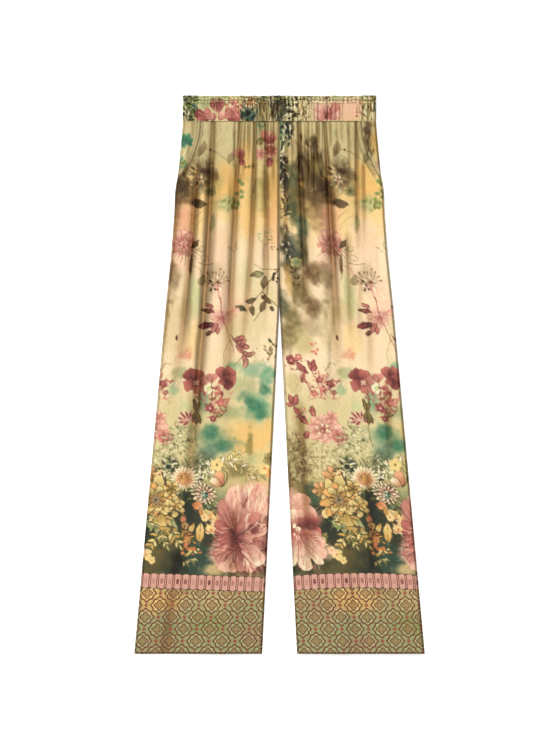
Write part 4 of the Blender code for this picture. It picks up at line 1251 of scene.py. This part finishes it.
def front_panel(leg, finish):
    drops = np.concatenate([
        spaced(BAND_DEPTH - UNDER_BAND, 0.650, 352)[:-1],
        spaced(0.650, 0.908, 215)[:-1],
        spaced(0.908, LENGTH, 46),
    ])
    # the hem turns under: how much further down, and how many thicknesses lower
    hem = ((0.0003, 0.5), (0.0, 1.0), (-0.006, 1.1), (-0.022, 1.1))
    thick = np.concatenate([np.zeros(len(drops)), [share for _, share in hem]])[:, None]
    drop = np.concatenate([drops, [LENGTH + further for further, _ in hem]])[:, None]
    inner, outer = inner_line(drop), front_edge(drop)
    steps = ROLL * (1 - np.cos(spaced(0, math.pi / 2, 6)))
    middle = mix(inner + ROLL, outer - ROLL, spaced(0, 1, 142)[None, 1:-1])
    out = np.concatenate([inner + steps[None, :], middle, outer - steps[None, ::-1]], axis=1)
    drop = np.broadcast_to(drop, out.shape)
    under_band = 0.0022 * ease((BAND_DEPTH + 0.0004 - drop) / 0.003)
    height = front_height(leg, out, drop) - CLOTH * thick - under_band
    # the edges turn under
    last, low = out[:, -1:], height[:, -1:] - np.where(drop[:, -1:] < POCKET_LOW, CLOTH, 0.0003)
    out = np.concatenate([out[:, :1], out, last, last - 0.003], axis=1)
    height = np.concatenate([height[:, :1] - CLOTH, height, low, low], axis=1)
    drop = np.broadcast_to(drop[:, :1], out.shape)
    return leg_sheet(f"cloth_front_{leg}", leg, out, drop, height, finish, print_legs, True, True)


def back_panel(leg, finish):
    drop = spaced(BAND_DEPTH - UNDER_BAND, LENGTH, 180)[:, None]
    out = mix(inner_line(drop), side_line(drop) - 0.0002, spaced(0, 1, 70)[None, :])
    drop = np.broadcast_to(drop, out.shape)
    near_edge = np.minimum(out - inner_line(drop), side_line(drop) - out)
    height = 0.0004 + 0.0008 * swell(near_edge, 0.002)
    return leg_sheet(f"cloth_back_{leg}", leg, out, drop, height, finish, print_legs, True)


def pocket(leg, finish):
    drop = spaced(BAND_DEPTH - UNDER_BAND, BAG_LOW, 120)[:, None]
    into_corner = np.clip((drop - BAG_LOW + BAG_CORNER) / BAG_CORNER, 0, 1)
    inner = BAG_INNER_OUT + BAG_CORNER * (1 - np.sqrt(1 - into_corner**2))
    out = mix(inner, side_line(drop) - 0.0005, spaced(0, 1, 90)[None, :])
    drop = np.broadcast_to(drop, out.shape)
    showing = ease((out - pocket_mouth(drop) + 0.004) / 0.022) * (1 - ease((drop - 0.130) / 0.025))
    level = mix(BAG_TOP, FACING_TOP, showing)
    level = level + 0.0010 * showing * cloudy(out / 0.008, drop / 0.060, 71)
    height = 0.0012 + (level - 0.0012) * roll(side_line(drop) - out)

    def painter(canvas):
        print_facing(canvas, leg)

    return leg_sheet(f"cloth_pocket_{leg}", leg, out, drop, height, finish, painter)


def pleats(place, period, jitter, seed):
    """Uneven pleats: rounded ridges at 1, narrow troughs at 0."""
    phase = place / period + jitter * cloudy(place / (3 * period), 0, seed)
    tall = 0.65 + 0.35 * cloudy(np.floor(phase) * 0.77, 5.5, seed + 1)
    return tall * (1 - np.exp(-4.5 * np.abs(np.sin(math.pi * phase))))


def waistband_front(finish):
    x = spaced(-SEAM_OUT, SEAM_OUT, 420)[None, :]
    drop = spaced(0.0, BAND_DEPTH, 60)[:, None]
    gathered = ease((x + 0.080) / 0.012) * ease((0.124 - x) / 0.012)
    band = pleats(x + 0.0012 * cloudy(x * 90, drop * 60, 4), 0.0078, 0.9, 11) * mix(0.10, 1.0, gathered)
    frill = pleats(x + 0.0010 * cloudy(x * 120, drop * 120, 5), 0.0066, 0.9, 21) * mix(0.60, 1.0, gathered)
    in_frill = ease((FRILL_DEPTH + 0.0015 - drop) / 0.003)
    pinch = 1 - 0.75 * swell(drop - FRILL_DEPTH, 0.0022)
    stitched = FRILL_DEPTH + 0.0009 * cloudy(x * 70, 0, 6)
    crown = -0.0009 * swell(drop - stitched, 0.0020)
    height = BAND_TOP - 0.0010 + crown + mix(0.0017 * band, 0.0026 * frill, in_frill) * pinch
    ragged = (0.0046 * (1 - frill) + 0.0010 * cloudy(x * 140, 0, 7)) * ease((0.008 - drop) / 0.008)
    drop = np.broadcast_to(drop, height.shape) + ragged
    # folded over at the top, and down inside
    fold = ((0.030, 1.3), (0.012, 1.3), (0.0015, 1.1), (0.0003, 0.5))
    height = np.concatenate([height[:1] - CLOTH * share for _, share in fold] + [height])
    drop = np.concatenate([drop[:1] + further for further, _ in fold] + [drop])
    x = np.broadcast_to(x, height.shape)
    canvas = Canvas(1000 * x, 1000 * drop)
    print_band(canvas)
    return sheet("cloth_waistband_front", np.stack([x, WAIST_Y - drop, height], -1), finish, canvas)


def waistband_back(finish):
    """From the seams on the front, round both sides and flat under the front."""
    radius = BAND_TOP / 2
    centre = BAND_OUT - radius
    angle = spaced(0, math.pi, 24)
    run = np.concatenate([
        np.stack([spaced(SEAM_OUT, centre, 30)[:-1], np.full(30, BAND_TOP)], -1),
        np.stack([centre + radius * np.sin(angle), radius + radius * np.cos(angle)], -1),
        np.stack([spaced(centre, 0, 90)[1:], np.zeros(90)], -1),
    ])
    run = np.concatenate([run, run[::-1][1:] * (-1, 1)])
    along = np.concatenate([[0], np.cumsum(np.hypot(*np.diff(run, axis=0).T))])[None, :]
    tangent = np.gradient(run, axis=0)
    tangent /= np.linalg.norm(tangent, axis=1)[:, None]
    normal = np.stack([-tangent[:, 1], tangent[:, 0]], -1)
    drop = spaced(0.0, BAND_DEPTH, 50)[:, None]
    wobble = 0.0006 * cloudy(along * 150, drop * 70, 8)
    band, frill = pleats(along + wobble, 0.0056, 0.8, 31), pleats(along + wobble, 0.0048, 0.8, 41)
    in_frill = ease((FRILL_DEPTH + 0.0015 - drop) / 0.003)
    pinch = 1 - 0.7 * swell(drop - FRILL_DEPTH, 0.0022)
    wave = mix(band, frill, in_frill) * pinch * 0.0022 - 0.0010
    wave = wave - 0.0008 * swell(drop - FRILL_DEPTH, 0.0018) - 0.0008 * swell(drop - BAND_DEPTH, 0.003)
    place = run[None, :, :] + normal[None, :, :] * wave[..., None]
    drop = np.broadcast_to(drop, frill.shape) + 0.0015 * (1 - frill) * ease((0.008 - drop) / 0.008)
    points = np.stack([place[..., 0], WAIST_Y - drop, np.maximum(place[..., 1], TABLE_GAP)], -1)[:, ::-1]
    canvas = Canvas(1000 * points[..., 0], 1000 * drop[:, ::-1])
    print_band(canvas)
    return sheet("cloth_waistband_back", points, finish, canvas)


# ---------------------------------------------------------------------------------------------
# Materials
# ---------------------------------------------------------------------------------------------
class Value:
    """A number in a node tree, so that sums are written plainly."""

    def __init__(self, tree, source):
        self.tree, self.source = tree, source

    def sum(self, operation, *others):
        node = self.tree.nodes.new("ShaderNodeMath")
        node.operation = operation
        for socket, value in zip(node.inputs, (self, *others)):
            if isinstance(value, Value):
                self.tree.links.new(value.source, socket)
            else:
                socket.default_value = value
        return Value(self.tree, node.outputs[0])

    def __add__(self, other):
        return self.sum("ADD", other)

    def __sub__(self, other):
        return self.sum("SUBTRACT", other)

    def __mul__(self, other):
        return self.sum("MULTIPLY", other)

    def __truediv__(self, other):
        return self.sum("DIVIDE", other)

    def size(self):
        return self.sum("ABSOLUTE")

    def least(self, other):
        return self.sum("MINIMUM", other)

    def most(self, other):
        return self.sum("MAXIMUM", other)

    def wrapped(self, period):
        """The distance from the nearest whole period, to either side."""
        return self.sum("WRAP", period / 2, -period / 2)

    def below(self, limit, soft):
        """1 where it is under the limit, easing to 0 above it."""
        node = self.tree.nodes.new("ShaderNodeMapRange")
        node.interpolation_type = "SMOOTHSTEP"
        node.inputs["From Min"].default_value = limit + soft / 2
        node.inputs["From Max"].default_value = limit - soft / 2
        self.tree.links.new(self.source, node.inputs["Value"])
        return Value(self.tree, node.outputs["Result"])


def blended(tree, share, under, over, mode="MIX"):
    """The colour socket of a Mix node. A colour is a socket or a palette name."""
    node = tree.nodes.new("ShaderNodeMix")
    node.data_type, node.blend_type = "RGBA", mode
    for socket, colour in zip((node.inputs[6], node.inputs[7]), (under, over)):
        if isinstance(colour, str):
            socket.default_value = (*(INK * linear(shade(colour))), 1)
        else:
            tree.links.new(colour, socket)
    tree.links.new(share.source, node.inputs[0])
    return node.outputs[2]


def noise(tree, vector, scale, detail=3.0, stretch=(1, 1, 1)):
    mapping = tree.nodes.new("ShaderNodeMapping")
    mapping.inputs["Scale"].default_value = stretch
    tree.links.new(vector, mapping.inputs["Vector"])
    node = tree.nodes.new("ShaderNodeTexNoise")
    node.inputs["Scale"].default_value = scale
    node.inputs["Detail"].default_value = detail
    tree.links.new(mapping.outputs[0], node.inputs["Vector"])
    return Value(tree, node.outputs["Fac"])


BEAD = 15.1  # from one bead of the border to the next, in mm
BEAD_DEPTH = 27.5
LATTICE = (50.0, 45.5)  # width and height of the lattice's repeat, in mm
MEDALLION, EYE = 14.2, 7.8  # mean radii of a medallion and of the four-lobed shape in it
DIAMOND = 4.8  # from the middle of a diamond to its corners


def lattice_colour(tree, colour, x, y, rough):
    """Medallions with four lobes in staggered rows, small diamonds between them."""
    wide, tall = LATTICE
    outers, inners, gaps = [], [], []
    for dx, dy in ((0, 0), (wide / 2, tall / 2)):
        u, v = (x + dx).wrapped(wide), (y + dy).wrapped(tall)
        radius = (u * u + v * v + 0.01).sum("SQRT")
        share = (u / radius) * (u / radius)
        four = share * share * 8 - share * 8 + 1
        eight = four * four * 2 - 1
        outers.append(radius - four * 0.8 - eight * 1.2 - MEDALLION)
        inners.append(radius - four * 1.8 - EYE)
        u, v = (x + dx + wide / 2).wrapped(wide), (y + dy).wrapped(tall)
        gaps.append(u.size() + v.size())
    outer, inner, gap = outers[0].least(outers[1]), inners[0].least(inners[1]), gaps[0].least(gaps[1])
    ragged = rough * 1.6 - 0.8
    colour = blended(tree, (outer + 2.8).size().below(1.1, 1.2) * 0.12, colour, "cream")
    colour = blended(tree, inner.below(-0.6, 0.8) * 0.45, colour, "olive")
    for away, half, name, strength in (
            ((outer + ragged * 0.6).size(), 1.60, "rust", 1.0), ((outer - 3.4).size(), 0.45, "brown", 0.45),
            ((inner + ragged * 0.5).size(), 1.30, "rust", 0.95), ((inner + 4.2).size(), 0.95, "brick", 0.90),
            ((gap - 8.5).size(), 0.50, "brown", 0.50)):
        colour = blended(tree, away.below(half, 0.7) * strength * (rough * 0.5 + 0.75), colour, name)
    return blended(tree, (gap + ragged).below(DIAMOND, 0.9) * 0.90, colour, "brick")


def bead_colour(tree, x, y, rough):
    """A row of tall pink beads with a dark oval in each, and a dotted strip between them."""
    u, v = x.wrapped(BEAD), y - BEAD_DEPTH / 2
    cell = (x / BEAD + 0.5).sum("FLOOR")
    picked = tree.nodes.new("ShaderNodeTexWhiteNoise")
    picked.noise_dimensions = "1D"
    tree.links.new(cell.source, picked.inputs["W"])
    dark = Value(tree, picked.outputs["Value"])
    away = ((u / 2.6) * (u / 2.6) + (v / 4.6) * (v / 4.6)).sum("SQRT")
    strip = (u.size() - BEAD / 2).size()
    colour = blended(tree, rough, "dusty pink", "faded pink")
    colour = blended(tree, away.below(1.9, 0.4) * 0.45, colour, "faded pink")
    colour = blended(tree, (away - 1.9).size().below(0.16, 0.25) * 0.5, colour, "rose")
    colour = blended(tree, away.below(1.15, 0.4) * (dark * 0.5 + 0.30), colour, "plum")
    colour = blended(tree, (away - 1.15).size().below(0.12, 0.2) * 0.7, colour, "plum")
    colour = blended(tree, away.below(1.15, 0.4) * dark * dark * dark, colour, "dark plum")
    colour = blended(tree, (strip - 1.6).size().below(0.80, 0.7) * (rough * 0.6 + 0.65), colour, "rust")
    dots = strip.most((v - 2).wrapped(5.2).size()).below(0.9, 0.6) * v.size().below(8.0, 2.0)
    colour = blended(tree, dots * dark.sum("SUBTRACT", 0.35).most(0) * 1.5, colour, "dark plum")
    rounded = u * u * -0.035 + (BEAD_DEPTH / 2 + 0.2)
    inside = (v.size() - rounded + rough * 2.4 - 1.2).below(0, 0.9)
    return blended(tree, inside, "umber", colour)


def printed_satin(name, with_border):
    made = bpy.data.materials.new(name)
    made.use_nodes = True
    tree = made.node_tree
    shader = tree.nodes["Principled BSDF"]
    print_node = tree.nodes.new("ShaderNodeAttribute")
    print_node.attribute_name = "print"
    colour = print_node.outputs["Color"]
    place = tree.nodes.new("ShaderNodeTexCoord").outputs["Object"]
    if with_border:
        border = tree.nodes.new("ShaderNodeAttribute")
        border.attribute_name = "border"
        parts = tree.nodes.new("ShaderNodeSeparateXYZ")
        tree.links.new(border.outputs["Vector"], parts.inputs[0])
        along, below, row = (Value(tree, output) for output in parts.outputs)
        rough = noise(tree, place, 260, 2)
        tiles = lattice_colour(tree, colour, along, row, rough)
        beads = bead_colour(tree, along, below, rough)
        colour = blended(tree, (below * -1 + BEAD_DEPTH + 0.8).below(0, 0.6), colour, tiles)
        in_beads = (below * -1).below(0.8, 0.8) * below.below(BEAD_DEPTH + 0.8, 0.8)
        colour = blended(tree, in_beads, colour, beads)
    # ink takes unevenly, in fine flecks and along the threads
    fleck = noise(tree, place, 420, 4, (1, 0.45, 1))
    colour = blended(tree, fleck * 0.42, colour, "umber", "SOFT_LIGHT")
    tree.links.new(colour, shader.inputs["Base Color"])
    # soft creases along the grain, and a fine weave
    crease = noise(tree, place, 55, 3, (1, 0.12, 0.5))
    weave = noise(tree, place, 1500, 1, (1, 0.4, 1))
    bump = tree.nodes.new("ShaderNodeBump")
    bump.inputs["Strength"].default_value = 0.35
    bump.inputs["Distance"].default_value = 0.0010
    tree.links.new((crease + weave * 0.05).source, bump.inputs["Height"])
    tree.links.new(bump.outputs["Normal"], shader.inputs["Normal"])
    glossy = fleck * 0.12 + 0.23
    tree.links.new(glossy.source, shader.inputs["Roughness"])
    shader.inputs["Metallic"].default_value = 0.36  # dyed satin tints what it reflects
    shader.inputs["Specular IOR Level"].default_value = 0.12
    shader.inputs["Sheen Weight"].default_value = 0.02
    shader.inputs["Sheen Roughness"].default_value = 0.4
    return made


leg_satin = printed_satin("leg_satin", True)
band_satin = printed_satin("waistband_satin", False)
pocket_satin = printed_satin("pocket_satin", False)

Piece = namedtuple("Piece", "obj node slot flat area held rests_on")
LEG_CLOTH = ("leg_cloth", (0.30, 1.06), 0.25, "laid")
POCKET_CLOTH = ("pocket_cloth", (0.16, 0.26), 0.03, "laid")
FRONT_BAND_CLOTH = ("waistband_cloth", (0.42, 0.08), None, "gathered")
BACK_BAND_CLOTH = ("waistband_cloth", (0.50, 0.05), None, "gathered")
pieces = []
for leg in SIDES:
    back = f"back_{leg}"
    pieces.append(Piece(front_panel(leg, leg_satin), f"front_{leg}", *LEG_CLOTH, [back]))
    pieces.append(Piece(back_panel(leg, leg_satin), back, *LEG_CLOTH, []))
    pieces.append(Piece(pocket(leg, pocket_satin), f"pocket_{leg}", *POCKET_CLOTH, [back]))
pieces.append(Piece(waistband_front(band_satin), "waistband_front", *FRONT_BAND_CLOTH, ["waistband_back"]))
pieces.append(Piece(waistband_back(band_satin), "waistband_back", *BACK_BAND_CLOTH, []))
for piece in pieces:
    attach(piece.obj, "root")
    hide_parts(piece.node)


# ---------------------------------------------------------------------------------------------
# Table, light and camera
# ---------------------------------------------------------------------------------------------
def make_table():
    mesh = bpy.data.meshes.new("table")
    reach = 12.0
    corners = [(-reach, -reach, 0), (reach, -reach, 0), (reach, reach, 0), (-reach, reach, 0)]
    mesh.from_pydata(corners, [], [(0, 1, 2, 3)])
    finish = bpy.data.materials.new("table_white")
    finish.use_nodes = True
    shader = finish.node_tree.nodes["Principled BSDF"]
    shader.inputs["Base Color"].default_value = (0.93, 0.93, 0.93, 1)
    shader.inputs["Roughness"].default_value = 0.9
    shader.inputs["Specular IOR Level"].default_value = 0.1
    mesh.materials.append(finish)
    obj = bpy.data.objects.new("table", mesh)
    bpy.context.scene.collection.objects.link(obj)


def add_light(name, kind, location, **settings):
    """A light that looks at the origin."""
    light = bpy.data.lights.new(name, kind)
    for setting, value in settings.items():
        setattr(light, setting, value)
    obj = bpy.data.objects.new(name, light)
    bpy.context.scene.collection.objects.link(obj)
    obj.location = location
    obj.rotation_euler = (-Vector(location)).to_track_quat("-Z", "Y").to_euler()
    obj.visible_camera = False


def make_light():
    world = bpy.data.worlds.new("studio")
    world.use_nodes = True
    background = world.node_tree.nodes["Background"]
    background.inputs["Color"].default_value = (1.0, 0.92, 0.80, 1)  # warm, as light between folds is
    background.inputs["Strength"].default_value = 0.34
    bpy.context.scene.world = world
    # looking straight down, its size_y lies along X
    add_light("softbox", "AREA", (-0.1, 0.0, 4.5), shape="RECTANGLE", size=2.4, size_y=3.5, energy=158.0)
    add_light("left", "AREA", (-2.4, 0.2, 0.9), shape="RECTANGLE", size=3.0, size_y=0.7, energy=50.0)
    add_light("key", "SUN", (-0.3, 2.6, 1.3), energy=2.4, angle=math.radians(20))
    bpy.context.scene.view_settings.view_transform = "Standard"


def make_camera():
    camera = bpy.data.cameras.new("camera")
    camera.sensor_width = SENSOR
    camera.lens = SENSOR * CAMERA_HEIGHT / FRAME_HEIGHT
    obj = bpy.data.objects.new("camera", camera)
    obj.location = (*CAMERA_OVER, CAMERA_HEIGHT)
    bpy.context.scene.collection.objects.link(obj)
    bpy.context.scene.camera = obj


make_table()
make_light()
make_camera()
